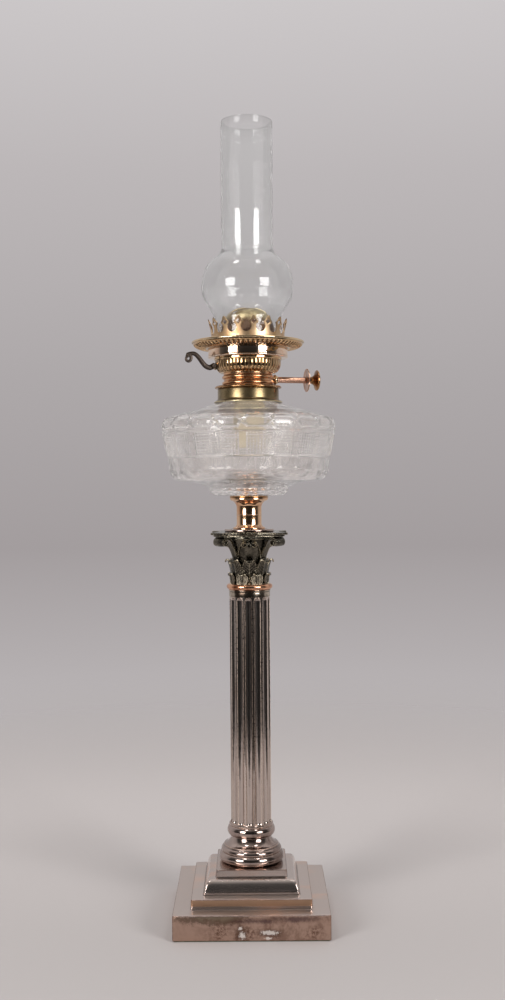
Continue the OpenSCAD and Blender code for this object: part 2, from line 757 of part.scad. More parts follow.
module burner_base() {
    skirt_in = skirt_r - 1.2;
    outline = [
        [0, 1], [skirt_in, 1], [skirt_in, -8], [skirt_r, -8], [skirt_r, 0],
        [flange_r - 1, 0], [flange_r, 0.9], [flange_r, 1.5], [flange_r - 1.4, flange_t - 0.4],
        [neck_r + 1.4, flange_t], [0, flange_t]
    ];
    color("goldenrod") translate([0, 0, z_burner]) rotate(burner_turn) difference() {
        rotate_extrude() polygon(outline);
        wick_slots(tube_out_w + 0.2, tube_out_t + 0.2, -1, flange_t + 1);
        translate([17.6, 0, -1]) cylinder(r = 1, h = flange_t + 2, $fn = 16);
    }
}

module burner_neck() {
    r = neck_r;
    h = neck_h;
    outline = concat(
        [[r - 1.5, 0], [r + 0.8, 0], [r + 0.8, 0.6]],
        arc([r - 1.3, 3.4], 1.9, -60, 60, 5),
        arc([r - 1.3, 7.8], 1.9, -60, 60, 5),
        [[r - 0.3, 9.9], [r - 0.3, h - 0.5], [r + 0.3, h], [r - 1.5, h]]
    );
    color("peru") translate([0, 0, z_plate]) rotate(burner_turn) difference() {
        rotate_extrude() polygon(outline);
        translate([0, 0, z_winder - z_plate]) rotate([0, 90, 0]) cylinder(r = 4.3, h = 40);
    }
}

// Outside of the bowl, from its foot to its top
function bowl_outline(h) = concat(
    [[neck_r - 0.3, 0], [neck_r + 1.6, 0.6]],
    bow([bowl_r - 8, h - 5.4], 8, h - 7.4, -58, 0, 6),
    [[bowl_r, h - 2.4], [bowl_r + 0.8, h - 1.6], [bowl_r + 0.8, h]]
);

// Shell with a ring of narrow upright flutes, and a slot for the lever
module burner_bowl() {
    h = bowl_h;
    t = sheet_t + 0.5;
    outside = bowl_outline(h);
    inside = [
        [bowl_r + 0.8 - t, h], [bowl_r - t, h - 2.8], [bowl_r - t - 0.5, h - 6],
        [bowl_r - t - 2.9, h - 9.6], [neck_r - 1.5, 1.6], [neck_r - 1.5, 0]
    ];
    color("goldenrod") translate([0, 0, z_bowl]) rotate(burner_turn) difference() {
        rotate_extrude() polygon(concat(outside, inside));
        ring_of(gadroon_count, 180 / gadroon_count)
            translate([bowl_r - 0.4, 0, h - 7.6]) rotate([0, 16, 0])
                translate([1.05, 0, -5]) cylinder(r = 1.25, h = 10, $fn = 16);
        translate([-bowl_r - 4, -2.2, 1.6]) cube([12, 4.4, 9.2]);
    }
}

module burner_drum() {
    t = sheet_t;
    r = drum_r;
    h = drum_h;
    outline = [
        [bowl_r - 1, 0], [r - 1.2, 0], [r - 0.2, 0.3], [r + 0.3, 0.9], [r - 0.2, 1.5], [r, 1.9],
        [r, h], [r - t, h], [r - t, t + 0.4], [bowl_r - 1, t + 0.4]
    ];
    color("goldenrod") translate([0, 0, z_drum]) rotate(burner_turn) rotate_extrude() polygon(outline);
}

// Pierced plate that spreads the air round the wick tubes
module air_plate() {
    color("darkgoldenrod") translate([0, 0, z_drum + sheet_t + 0.4]) rotate(burner_turn) difference() {
        cylinder(r = drum_r - sheet_t - 0.1, h = 1);
        translate([0, 0, -1]) linear_extrude(3)
            square([tube_out_w + 5, 2 * wick_y + tube_out_t + 5], center = true);
        translate([-tube_out_w / 2 - arm_reach - 2 * arm_gap, -arm_w / 2 - arm_gap, -1])
            cube([arm_reach + 2 * arm_gap, arm_w + 2 * arm_gap, 3]);
        for (k = [0:1]) ring_of(20, k * 9) translate([26.5 + 5 * k, 0, -1])
            cylinder(r = 1.3, h = 3, $fn = 16);
    }
}

// Two flat tubes, open at both ends, with a window each for the star wheels
module wick_tubes() {
    z0 = z_plate - flange_t - 6;
    window_w = tube_in_w;
    color("goldenrod") rotate(burner_turn) difference() {
        wick_slots(tube_out_w, tube_out_t, z0, z_tube_top);
        wick_slots(tube_in_w, tube_in_t, z0 - 1, z_tube_top + 1);
        for (s = [-1, 1]) translate([-window_w / 2, s * (wick_y - tube_out_t / 2) - 1.5, z_winder - 3.4])
            cube([window_w, 3, 6.8]);
    }
}

module wick(side) {
    z0 = z_plate - wick_drop;
    color("antiquewhite") rotate(burner_turn)
        translate([-wick_w / 2, side * wick_y - wick_t / 2, z0])
            cube([wick_w, wick_t, z_tube_top + 1 - z0]);
}

module wick_front() {
    wick(-1);
}

module wick_back() {
    wick(1);
}

// Winders

// Places its children with +Z along the winder axis, outwards
module on_winder(reach) {
    rotate(burner_turn) translate([reach, 0, z_winder]) rotate([0, 90, 0]) children();
}

// Toothed disc outline. Teeth taper to a narrow tip.
module toothed(tip, root, turn) {
    tooth = 360 / teeth;
    polygon([for (i = [0:teeth - 1], k = [0:3])
        let (
            a = i * tooth + turn + [-9.5, -4, 4, 9.5][k],
            r = [root, tip, tip, root][k]
        ) r * [cos(a), sin(a)]]);
}

module winder_bush() {
    face = neck_r - 0.2;
    color("goldenrod") on_winder(0) difference() {
        rotate_extrude() polygon([
            [1, neck_r - 2.6], [4.2, neck_r - 2.6], [4.2, face + 1.6], [4.9, face + 1.6],
            [4.9, face + 3], [3.8, face + 4.8], [1, face + 4.8]
        ]);
        translate([0, 0, 10]) cylinder(d = sleeve_d + 2 * run_gap, h = 40);
    }
}

// Upright plates that carry the inner ends of the shafts
module winder_frame() {
    color("darkgoldenrod") rotate(burner_turn) for (x = [-15.4, 14.2]) {
        translate([x, 0, z_winder]) rotate([0, 90, 0]) difference() {
            translate([-4.6, -shaft_gap - 1.8, 0]) cube([5.9 + 4.6, 2 * shaft_gap + 3.6, 1.2]);
            for (s = [-1, 1]) translate([0, s * shaft_gap, -1]) cylinder(r = 1 + run_gap, h = 4, $fn = 24);
            translate([0, 0, -1])
                cylinder(d = (x < 0 ? spindle_d : sleeve_d) + 2 * run_gap, h = 4, $fn = 32);
        }
    }
}

// Outer winder: a sleeve with a pinion at its inner end
module winder_sleeve() {
    end = 8.6;
    color("darkkhaki") on_winder(0) difference() {
        union() {
            translate([0, 0, 13.2]) cylinder(d = sleeve_d, h = disc_reach - 13.2);
            translate([0, 0, end]) cylinder(r = pitch_r - 0.6, h = 6);
            translate([0, 0, end + 0.4]) linear_extrude(3.2) toothed(gear_r, pitch_r - 0.5, 0);
        }
        cylinder(d = spindle_d + 2 * run_gap, h = disc_reach + 2);
    }
}

module winder_disc() {
    color("khaki") on_winder(disc_reach) difference() {
        rotate_extrude() polygon([
            [1, 0], [sleeve_d / 2 + 1.4, 0], [sleeve_d / 2 + 2, 0.5], [disc_d / 2 - 0.5, 0.5],
            [disc_d / 2, 0.9], [disc_d / 2, disc_t], [1, disc_t]
        ]);
        translate([0, 0, -1]) cylinder(d = spindle_d + 2 * run_gap, h = disc_t + 2);
    }
}

// Inner winder: a spindle right through, with a pinion at its far end
module winder_spindle() {
    far = -15.4 + 0.2;
    color("darkkhaki") on_winder(0) {
        translate([0, 0, far]) cylinder(d = spindle_d, h = disc_reach + disc_t + 0.6 - far);
        translate([0, 0, -12.2]) linear_extrude(3.2) toothed(gear_r, pitch_r - 0.5, 0);
    }
}

// Trumpet knob with a domed face
module winder_knob() {
    r = knob_d / 2;
    l = knob_l;
    outline = concat(
        [[0, 0], [2.6, 0]],
        bow([2.6 + 5.2, 0.2], 5, 7, 180, 100, 7),
        [[r - 0.6, l - 3.6], [r, l - 3], [r, l - 2.2], [r - 0.8, l - 1.5]],
        bow([0, l - 1.8], r - 1.6, 1.8, 10, 90, 5)
    );
    color("khaki") on_winder(disc_reach + disc_t + 0.6) rotate_extrude() polygon(outline);
}

// Feed shaft with a gear that meets its pinion and two star wheels that move its wick
module feed_shaft(side) {
    gear_at = side < 0 ? 9 : -12.2;
    color("darkkhaki") rotate(burner_turn) translate([0, side * shaft_gap, z_winder]) rotate([0, 90, 0]) {
        translate([0, 0, -15.2]) cylinder(r = 1, h = 30.4, $fn = 24);
        translate([0, 0, gear_at]) linear_extrude(3.2)
            toothed(gear_r, pitch_r - 0.5, 180 / teeth);
        for (x = [-5.6, 4.2]) translate([0, 0, x]) linear_extrude(1.4)
            toothed(star_r, pitch_r - 0.7, 180 / teeth);
    }
}

module feed_shaft_front() {
    feed_shaft(-1);
}

module feed_shaft_back() {
    feed_shaft(1);
}

// Extinguisher

// Places its children at the lever pivot, with their X outwards, their Y up and their Z across
module at_pivot() {
    rotate(burner_turn) translate([-pivot_reach, 0, z_pivot]) rotate([90, 0, 180]) children();
}

module lever_bracket() {
    ear = (lever_t + 0.8) / 2;
    color("goldenrod") at_pivot() difference() {
        for (s = [-1, 1]) translate([0, 0, s * (ear + 0.6)]) linear_extrude(1.2, center = true) hull() {
            circle(r = 2.2, $fn = 24);
            translate([-2.2, 0.6]) square([1, 1.6]);
            translate([-2.9, -3.6]) square([0.8, 1.6]);
        }
        cylinder(d = pivot_d + 0.04, h = 20, center = true, $fn = 24);
    }
}

module lever_pivot() {
    l = lever_t + 0.8 + 2.4;
    color("gray") at_pivot() {
        cylinder(d = pivot_d, h = l, center = true, $fn = 24);
        for (s = [-1, 1]) translate([0, 0, s * (l / 2 + 0.35)]) cylinder(r = 1.7, h = 0.7, center = true, $fn = 24);
    }
}

// Points of the S shaped bar outside the pivot, as seen from the side
lever_path = [[0, 0], [3.6, -1.7], [7.6, -0.2], [11, 3.6], [14, 7.6], [17.6, 10.8], [21.4, 11.6], [24.6, 9.8]];

module extinguisher_lever() {
    n = len(lever_path) - 1;
    curl = [23.8, 6.2];
    color("darkslategray") at_pivot() difference() {
        translate([0, 0, -lever_t / 2]) linear_extrude(lever_t) {
            for (i = [0:n - 1]) hull() {
                translate(lever_path[i]) circle(d = lever_w * (1 - 0.25 * i / n), $fn = 20);
                translate(lever_path[i + 1]) circle(d = lever_w * (1 - 0.25 * (i + 1) / n), $fn = 20);
            }
            translate(curl) difference() {
                circle(r = 2.9, $fn = 24);
                circle(r = 1.5, $fn = 24);
            }
            translate([-lever_tail, -0.9]) square([lever_tail, 1.8]);
            translate([-lever_tail, -0.9]) square([2.4, 2.6]);
        }
        cylinder(d = pivot_d + 2 * run_gap, h = 20, center = true, $fn = 24);
    }
}

// Two sleeves that ride up the wick tubes to smother the flames, on one cross plate
module snuffer_sleeves() {
    gap = 0.25;
    w = tube_out_w + 2 * gap;
    t = tube_out_t + 2 * gap;
    top = z_tube_top - 1.5 - snuffer_lift;
    plate_z = z_pivot + 2.2;
    color("darkgoldenrod") rotate(burner_turn) difference() {
        union() {
            wick_slots(w + 1, t + 1, plate_z, top);
            translate([-w / 2 - arm_reach, -arm_w / 2, plate_z]) cube([w / 2 + arm_reach, arm_w, 1.4]);
            translate([-w / 2, -wick_y, plate_z]) cube([w, 2 * wick_y, 1.4]);
        }
        wick_slots(w, t, plate_z - 1, top + 1);
    }
}

// Gallery

// Spun pan with a rolled rim, a flat floor and a short collar inside the drum.
// Narrow radial ribs are pressed into its underside.
module gallery_dish() {
    t = sheet_t;
    rim = 0.95;
    flat_r = gallery_r - 7.9;
    up = gallery_rise - 0.9;
    under = concat(
        [[drum_r + 0.4, 0.1], [flat_r, 0.4]],
        bow([flat_r, 0.4 + up], gallery_r - flat_r - 0.9, up, -80, -8, 7)
    );
    over = [for (p = bow([flat_r, 0.4 + up], gallery_r - flat_r - 0.9 - t, up - t, -8, -80, 7)) p];
    skirt = drum_r - t - 0.3;
    outline = concat(
        [[dome_r - 0.5, 0.2], [skirt - 2, 0.2], [skirt - 2, -3], [skirt, -3], [skirt, 0.1]],
        under,
        arc([gallery_r - rim, gallery_rise - rim], rim, -60, 190, 8),
        over,
        [[flat_r - 1, 0.5 + t], [drum_r - 0.6, 2], [dome_r - 0.5, 2]]
    );
    groove = concat(
        [for (p = under) p + [0.3, -0.7]],
        [for (i = [len(under) - 1:-1:0]) under[i] + [-0.15, 0.35]]
    );
    color("gold") translate([0, 0, z_gallery]) rotate(burner_turn) difference() {
        rotate_extrude() polygon(outline);
        ring_of(dish_rib_count) rotate([90, 0, 0])
            linear_extrude(1.5, center = true) polygon(groove);
    }
}

// One ogee point of the crown with its round gap and its pierced diamond, laid flat
module crown_point(w, h) {
    difference() {
        polygon(concat(
            [[-w / 2, 0], [w / 2, 0], [w / 2, h * 0.36]],
            arc([w / 2, h * 0.36 + w * 0.3], w * 0.3, 270, 140, 4),
            arc([w * 0.42, h * 0.66], w * 0.14, 330, 395, 2),
            [[w * 0.3, h * 0.86], [w * 0.07, h], [-w * 0.07, h], [-w * 0.3, h * 0.86]],
            arc([-w * 0.42, h * 0.66], w * 0.14, 145, 210, 2),
            arc([-w / 2, h * 0.36 + w * 0.3], w * 0.3, 40, -90, 4),
            [[-w / 2, h * 0.36]]
        ));
        polygon([[0, h * 0.44], [w * 0.13, h * 0.64], [0, h * 0.82], [-w * 0.13, h * 0.64]]);
    }
}

// Flared ring of points, pierced right round
module gallery_crown() {
    t = 0.8;
    h = crown_h;
    foot = crown_r;
    tip = crown_r + crown_lean;
    w = 2 * (tip + 1) * tan(180 / crown_count);
    outline = concat(
        [[foot - t, 0], [foot + 0.6, 0], [foot + 0.6, 1], [foot, 1.5], [foot, h * 0.4]],
        bow([foot, h * 1.05], crown_lean, h * 0.65, -90, -8, 4),
        bow([foot - t, h * 1.05], crown_lean, h * 0.65, -8, -90, 4),
        [[foot - t, h * 0.4]]
    );
    color("gold") translate([0, 0, z_floor]) rotate(burner_turn) intersection() {
        rotate_extrude() polygon(outline);
        union() {
            cylinder(r = tip + 2, h = h * 0.3);
            ring_of(crown_count) rotate([90, 0, 90]) linear_extrude(tip + 4) crown_point(w, h);
        }
    }
}

// Dome with two slots that draws the air over the flames
module deflector_dome() {
    t = 0.7;
    r = dome_r;
    h = dome_h;
    outline = concat(
        [[r + 3.6, 0], [r + 3.6, 0.8], [r, 0.8], [r, h * 0.3]],
        bow([8, h * 0.3], r - 8, h * 0.7, 0, 90, 9),
        [[0, h], [0, h - t]],
        bow([8, h * 0.3], r - 8 - t, h * 0.7 - t, 90, 0, 9),
        [[r - t, 0]]
    );
    color("cornsilk") translate([0, 0, z_floor]) rotate(burner_turn) difference() {
        rotate_extrude() polygon(outline);
        wick_slots(tube_out_w + 6, 5.4, h * 0.62, h + 2);
    }
}

// Small spring lever on the drum that holds the gallery
catch_turn = -53.5;

module at_catch() {
    rotate(catch_turn) translate([drum_r + 0.3, 0, z_drum + 5.6]) rotate([90, 0, 90]) children();
}

module gallery_catch() {
    color("darkgoldenrod") at_catch() difference() {
        linear_extrude(1) {
            circle(r = 2, $fn = 24);
            polygon([[-1.4, 1.6], [-6.6, -1], [-7.4, -1.9], [-6.4, -2.7], [-1.6, -1]]);
            polygon([[0.8, -1.6], [5.8, 0.4], [6.6, 2], [5.2, 2.4], [0.6, 1.6]]);
        }
        translate([0, 0, -1]) cylinder(d = 1.6 + 2 * run_gap, h = 4, $fn = 24);
    }
}

module catch_pivot() {
    color("goldenrod") at_catch() {
        translate([0, 0, -0.3]) cylinder(d = 1.6, h = 1.7, $fn = 24);
        translate([0, 0, 1.2]) cylinder(r = 1.4, h = 0.6, $fn = 24);
    }
}

// Chimney

// Thin tube with a straight foot, a full bulge and a long straight stack
module chimney_glass() {
    t = chimney_t;
    z_bulge = 56.2;
    flare = 92.5;
    function wall_outline(d) = concat(
        [[chimney_r - d, 0], [chimney_r - d, 24]],
        bow([chimney_r + 7.2 - d, 24], 7.2, 12, 180, 130, 5),
        bow([bulge_r - 12 - d, z_bulge], 12, 18.6, -48, 0, 6),
        bow([bulge_r - 18.4 - d, z_bulge], 18.4, 28, 9, 63, 7),
        bow([chimney_top_r + 9 - d, flare], 9, 8.3, 230, 180, 7),
        [[chimney_top_r - d, chimney_l]]
    );
    outside = wall_outline(0);
    inside = wall_outline(t);
    n = len(inside) - 1;
    color("aliceblue", 0.4) translate([0, 0, z_floor]) rotate_extrude()
        polygon(concat(outside, [for (i = [n:-1:0]) inside[i]]));
}

baize_pad();
base_board();
board_screws();
base_weight();
base_shell();
tie_rod();
tie_nuts();
tie_washer();
column_foot();
fluted_shaft();
neck_ring();
capital_bell();
lower_leaves();
upper_leaves();
corner_volutes();
helices();
fleurons();
abacus();
cap_disc();
font_socket();
font_ferrule();
glass_font();
font_collar();
burner_base();
burner_neck();
burner_bowl();
burner_drum();
air_plate();
wick_tubes();
winder_bush();
winder_frame();
winder_sleeve();
winder_disc();
winder_spindle();
winder_knob();
feed_shaft_front();
feed_shaft_back();
wick_front();
wick_back();
lever_bracket();
lever_pivot();
extinguisher_lever();
snuffer_sleeves();
gallery_dish();
gallery_crown();
deflector_dome();
gallery_catch();
catch_pivot();
chimney_glass();
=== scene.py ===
import json
import math

import bmesh
import bpy
import numpy as np
from mathutils import Matrix, Vector, noise


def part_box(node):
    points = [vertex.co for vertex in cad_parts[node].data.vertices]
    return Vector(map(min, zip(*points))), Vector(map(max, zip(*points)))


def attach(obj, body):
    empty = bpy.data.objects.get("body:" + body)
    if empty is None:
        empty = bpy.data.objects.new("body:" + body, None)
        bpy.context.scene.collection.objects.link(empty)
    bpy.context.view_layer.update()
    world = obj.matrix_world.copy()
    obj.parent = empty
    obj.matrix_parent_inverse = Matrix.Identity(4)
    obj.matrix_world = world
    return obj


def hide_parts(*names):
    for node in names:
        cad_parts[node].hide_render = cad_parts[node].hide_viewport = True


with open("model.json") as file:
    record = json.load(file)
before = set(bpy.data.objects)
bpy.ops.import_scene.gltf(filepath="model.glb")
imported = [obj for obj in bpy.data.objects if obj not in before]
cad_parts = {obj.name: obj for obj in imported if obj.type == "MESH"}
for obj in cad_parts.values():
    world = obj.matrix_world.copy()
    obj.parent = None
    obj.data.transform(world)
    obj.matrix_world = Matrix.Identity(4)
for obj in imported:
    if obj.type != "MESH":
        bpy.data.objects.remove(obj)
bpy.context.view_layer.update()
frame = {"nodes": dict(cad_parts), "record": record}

# The frame gives every place and height. Lengths here are in millimetres and turn into metres
# where a mesh or a light is made.

record = frame["record"]
body_of = {node: body for body, nodes in record["behaviour"]["bodies"].items() for node in nodes}
slot_of = {part["node"]: part["material_slot"] for part in record["subparts"]}
MM = 0.001
ON_AXIS = 1e-4
BURNER_TURN = math.radians(13)
FRONT = -math.pi / 2


def foot(node):
    """Height of a node's lowest point, in mm."""
    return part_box(node)[0].z / MM


def top(node):
    """Height of a node's highest point, in mm."""
    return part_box(node)[1].z / MM


Z_FERRULE = top("font_socket")
Z_FONT = foot("glass_font")
Z_BURNER = top("font_collar")
Z_WINDER = 506.4
Z_PIVOT = top("lever_pivot") - 1.7
Z_GALLERY = top("burner_drum")


# Outlines

def arc(cx, cz, rx, rz, start, stop, steps=10):
    """Points on a round or elliptic arc between two angles in degrees."""
    turns = [math.radians(start + (stop - start) * i / steps) for i in range(steps + 1)]
    return [(cx + rx * math.cos(a), cz + rz * math.sin(a)) for a in turns]


def soften(points, radius, closed=True):
    """The outline with its sharp corners rounded off where its sides leave room."""
    least_turn = math.radians(24)
    rounded = []
    last = len(points) - 1
    for i, point in enumerate(points):
        corner = Vector(point)
        before = Vector(points[i - 1]) - corner
        after = Vector(points[(i + 1) % len(points)]) - corner
        at_end = not closed and i in (0, last)
        if at_end or min(before.length, after.length) < ON_AXIS or corner.x < ON_AXIS:
            rounded.append(corner)
            continue
        turn = math.pi - before.angle(after)
        if turn < least_turn:
            rounded.append(corner)
            continue
        reach = min(radius * math.tan(min(turn, 2.8) / 2), 0.42 * before.length, 0.42 * after.length)
        start = corner + before.normalized() * reach
        stop = corner + after.normalized() * reach
        for s in (0, 0.3, 0.7, 1):
            rounded.append(start * (1 - s) ** 2 + corner * (2 * s * (1 - s)) + stop * s * s)
    return rounded


def refine(points, step, closed=True):
    """The outline with points added so that no side is longer than step."""
    fine = []
    last = len(points) - 1
    for i, point in enumerate(points):
        here = Vector(point)
        fine.append(here)
        if i == last and not closed:
            break
        there = Vector(points[(i + 1) % len(points)])
        pieces = math.ceil((there - here).length / step)
        fine += [here.lerp(there, k / pieces) for k in range(1, pieces)]
    return fine


# Meshes

def mark_edges(mesh):
    """Stores how strongly the surface bends at each point: above 0 on edges, below 0 in corners."""
    work = bmesh.new()
    work.from_mesh(mesh)
    bend = np.zeros(len(work.verts))
    area = np.zeros(len(work.verts))
    for face in work.faces:
        share = face.calc_area() / len(face.verts)
        for vertex in face.verts:
            area[vertex.index] += share
    for edge in work.edges:
        if len(edge.link_faces) == 2:
            turn = edge.calc_face_angle_signed(0) * edge.calc_length() / 4
            bend[edge.verts[0].index] += turn
            bend[edge.verts[1].index] += turn
    work.free()
    curvature = bend / np.maximum(area, 1e-12) * MM
    values = mesh.attributes.new("edge", "FLOAT", "POINT")
    values.data.foreach_set("value", np.clip(curvature, -3, 3).astype(np.float32))


def finish_mesh(name, mesh, sharp=32, flat=False):
    """An object from a mesh, shaded smooth but for its sharp edges."""
    mesh.validate()
    if flat:
        mesh.shade_flat()
    else:
        mesh.shade_smooth()
        mesh.set_sharp_from_angle(angle=math.radians(sharp))
    mark_edges(mesh)
    piece = bpy.data.objects.new(name, mesh)
    bpy.context.scene.collection.objects.link(piece)
    return piece


def mesh_from(name, points, faces):
    """A mesh with its faces turned outwards. Points are in mm."""
    mesh = bpy.data.meshes.new(name)
    mesh.from_pydata([(x * MM, y * MM, z * MM) for x, y, z in points], [], faces)
    work = bmesh.new()
    work.from_mesh(mesh)
    bmesh.ops.remove_doubles(work, verts=work.verts, dist=1e-7)
    bmesh.ops.recalc_face_normals(work, faces=work.faces)
    work.to_mesh(mesh)
    work.free()
    return mesh


def with_modifiers(name, mesh, **modifiers):
    """The mesh as it is after these modifiers, given as type=settings."""
    draft = bpy.data.objects.new(name, mesh)
    bpy.context.scene.collection.objects.link(draft)
    for kind, settings in modifiers.items():
        modifier = draft.modifiers.new(kind, kind.upper())
        for key, value in settings.items():
            setattr(modifier, key, value)
    shown = draft.evaluated_get(bpy.context.evaluated_depsgraph_get())
    result = bpy.data.meshes.new_from_object(shown)
    result.name = name
    bpy.data.objects.remove(draft)
    return result


def stand_for(piece, node, material):
    """The piece takes a CAD node's place and body and wears the given material; the node is hidden."""
    piece.data.materials.clear()
    piece.data.materials.append(material)
    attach(piece, body_of[node])
    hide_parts(node)
    return piece


def grid_faces(rows, columns, wrap_rows=False, wrap_columns=False, first=0):
    """Faces of a grid of points stored row by row."""
    faces = []
    for j in range(rows if wrap_rows else rows - 1):
        low = first + j * columns
        high = first + (j + 1) % rows * columns
        for i in range(columns if wrap_columns else columns - 1):
            k = (i + 1) % columns
            faces.append((low + i, low + k, high + k, high + i))
    return faces


def turned_mesh(name, outline, z0, segments=144, closed=True, relief=None):
    """A turned mesh. The outline is (radius, height) above z0; relief(index, point, angle) cuts into it."""
    angles = [2 * math.pi * k / segments for k in range(segments)]
    points = []
    last = len(outline) - 1
    for i, (radius, height) in enumerate(outline):
        ahead = Vector(outline[min(i + 1, last)]) - Vector(outline[max(i - 1, 0)])
        normal = Vector((ahead.y, -ahead.x)).normalized()
        for a in angles:
            depth = relief(i, (radius, height), a) if relief else 0
            r = radius - normal.x * depth
            points.append((r * math.cos(a), r * math.sin(a), z0 + height - normal.y * depth))
    faces = grid_faces(len(outline), segments, closed, True)
    return mesh_from(name, points, faces)


def turned(node, outline, z0, material, segments=144, closed=True, radius=0.35, step=None):
    """A turned piece that stands for a node."""
    smooth = soften(outline, radius, closed)
    if step:
        smooth = refine(smooth, step, closed)
    mesh = turned_mesh(node + "_looks", smooth, z0, segments, closed)
    return stand_for(finish_mesh(node + "_looks", mesh), node, material)


def move_to_winder(mesh):
    """Turns a mesh made about +Z so that it lies along the winder axis."""
    place = (Matrix.Rotation(BURNER_TURN, 4, "Z") @ Matrix.Translation((0, 0, Z_WINDER * MM))
             @ Matrix.Rotation(math.pi / 2, 4, "Y"))
    mesh.transform(place)


# Materials

def srgb(red, green, blue):
    """A colour given as it shows on a screen, 0 to 255."""
    def linear(value):
        value = value / 255
        return value / 12.92 if value <= 0.04045 else ((value + 0.055) / 1.055) ** 2.4
    return (linear(red), linear(green), linear(blue), 1)


class Finish:
    """A material, with short ways to add nodes to it."""

    def __init__(self, name, **plain):
        self.material = bpy.data.materials.new(name)
        self.material.use_nodes = True
        self.tree = self.material.node_tree
        self.shader = self.tree.nodes["Principled BSDF"]
        self.place = self.node("ShaderNodeTexCoord").outputs["Object"]
        split = self.node("ShaderNodeSeparateXYZ", {0: self.place})
        self.x, self.y, self.z = split.outputs
        for key, value in plain.items():
            self.set(key.replace("_", " ").title().replace("Ior", "IOR"), value)

    def node(self, kind, inputs=None, **settings):
        node = self.tree.nodes.new(kind)
        for key, value in settings.items():
            setattr(node, key, value)
        for key, value in (inputs or {}).items():
            self.feed(node.inputs[key], value)
        return node

    def feed(self, socket, value):
        if isinstance(value, bpy.types.NodeSocket):
            self.tree.links.new(value, socket)
        else:
            socket.default_value = value

    def set(self, name, value):
        self.feed(self.shader.inputs[name], value)

    def math(self, operation, a, b=0.0, c=0.0):
        return self.node("ShaderNodeMath", {0: a, 1: b, 2: c}, operation=operation).outputs[0]

    def stretch(self, scale, turn=(0, 0, 0)):
        """The place on the object, with each direction scaled."""
        return self.node("ShaderNodeMapping", {"Vector": self.place, "Scale": scale, "Rotation": turn}).outputs[0]

    def noise(self, scale, detail=3.0, rough=0.5, vector=None, distortion=0.0):
        inputs = {"Vector": vector or self.place, "Scale": scale, "Detail": detail,
                  "Roughness": rough, "Distortion": distortion}
        return self.node("ShaderNodeTexNoise", inputs).outputs[0]

    def step(self, value, low, high, start=0.0, stop=1.0):
        """Goes smoothly from start to stop as the value goes from low to high."""
        node = self.node("ShaderNodeMapRange", interpolation_type="SMOOTHSTEP")
        for socket, given in zip(node.inputs, (value, low, high, start, stop)):
            self.feed(socket, given)
        return node.outputs[0]

    def mix(self, share, a, b):
        node = self.node("ShaderNodeMix", data_type="RGBA")
        for index, given in ((0, share), (6, a), (7, b)):
            self.feed(node.inputs[index], given)
        return node.outputs[2]

    def edge(self):
        return self.node("ShaderNodeAttribute", attribute_name="edge").outputs["Fac"]

    def bump(self, height, distance, strength=1.0):
        bump = self.node("ShaderNodeBump", {"Height": height, "Distance": distance, "Strength": strength})
        self.set("Normal", bump.outputs[0])


def worn_metal(name, bright, tarnish_and_shade, dirt_and_shade, rough=0.1, dull_share=0.5, edge_colour=None, turned_lines=True,
               dirt_and_shade_from=-0.12, dirt_and_shade_full=-0.9):
    """Polished metal with tarnish in patches, corners and grooves darkened by dirt and painted shade, and fine rubbing
    marks.
    """
    f = Finish(name, metallic=1.0)
    patches = f.noise(70, 5, 0.62, distortion=0.6)
    fine = f.noise(900, 3, 0.6)
    tarnish = f.step(f.math("ADD", patches, f.math("MULTIPLY", fine, 0.18)), 0.66 - 0.3 * dull_share, 0.86)
    colour = f.mix(tarnish, bright, tarnish_and_shade)
    edge = f.edge()
    # Concave corners and grooves darken towards the third colour given: partly dirt, partly painted shade.
    corner = f.step(edge, dirt_and_shade_from, dirt_and_shade_full)
    colour = f.mix(f.math("MULTIPLY", corner, 0.8), colour, dirt_and_shade)
    # Edges take the edge colour in patches: on most metals a lighter rubbed-through tone, on the pierced crown a dark
    # brown that is painted shadow round the piercings.
    if edge_colour:
        rubbed = f.math("MULTIPLY", f.step(edge, 0.25, 0.9), f.step(patches, 0.3, 0.55, 0.35, 1.0))
        colour = f.mix(rubbed, colour, edge_colour)
    f.set("Base Color", colour)
    marks = f.noise(220, 4, 0.7, f.stretch((0.35, 0.35, 9.0) if turned_lines else (2.0, 2.0, 0.5)))
    roughness = f.math("MULTIPLY_ADD", tarnish, 0.12, rough)
    roughness = f.math("MULTIPLY_ADD", corner, 0.25, roughness)
    f.set("Roughness", f.math("MULTIPLY_ADD", marks, 0.05, roughness))
    waves = f.noise(60, 2, 0.4)
    f.bump(f.math("ADD", f.math("MULTIPLY", waves, 1.0), f.math("MULTIPLY", marks, 0.03)), 0.00012, 0.55)
    return f.material


def dome_brass():
    """Dull pale brass of the dome, darker and browner towards its foot."""
    f = Finish("dome_brass", metallic=1.0)
    z0, h = foot("deflector_dome"), top("deflector_dome") - foot("deflector_dome")
    patches = f.noise(110, 4, 0.6)
    pale = f.mix(f.step(patches, 0.4, 0.62), srgb(182, 168, 132), srgb(140, 122, 90))
    foot_colour = f.mix(f.step(patches, 0.4, 0.62), srgb(120, 96, 78), srgb(84, 62, 48))
    towards_foot = f.step(f.z, (z0 + 0.76 * h) * MM, (z0 + 0.6 * h) * MM)
    f.set("Base Color", f.mix(towards_foot, pale, foot_colour))
    f.set("Roughness", f.math("MULTIPLY_ADD", patches, 0.1, 0.3))
    f.bump(patches, 0.0001, 0.5)
    return f.material


def blotch(f, x, z, half_x, half_z, ragged, soft=0.9):
    """1 inside a ragged spot on the front of the plinth, 0 outside. Places are in mm."""
    across = f.math("DIVIDE", f.math("SUBTRACT", f.x, x * MM), half_x * MM)
    up = f.math("DIVIDE", f.math("SUBTRACT", f.z, z * MM), half_z * MM)
    far = f.math("SQRT", f.math("ADD", f.math("MULTIPLY", across, across), f.math("MULTIPLY", up, up)))
    return f.step(f.math("ADD", far, ragged), 1.35, 1.35 - soft)


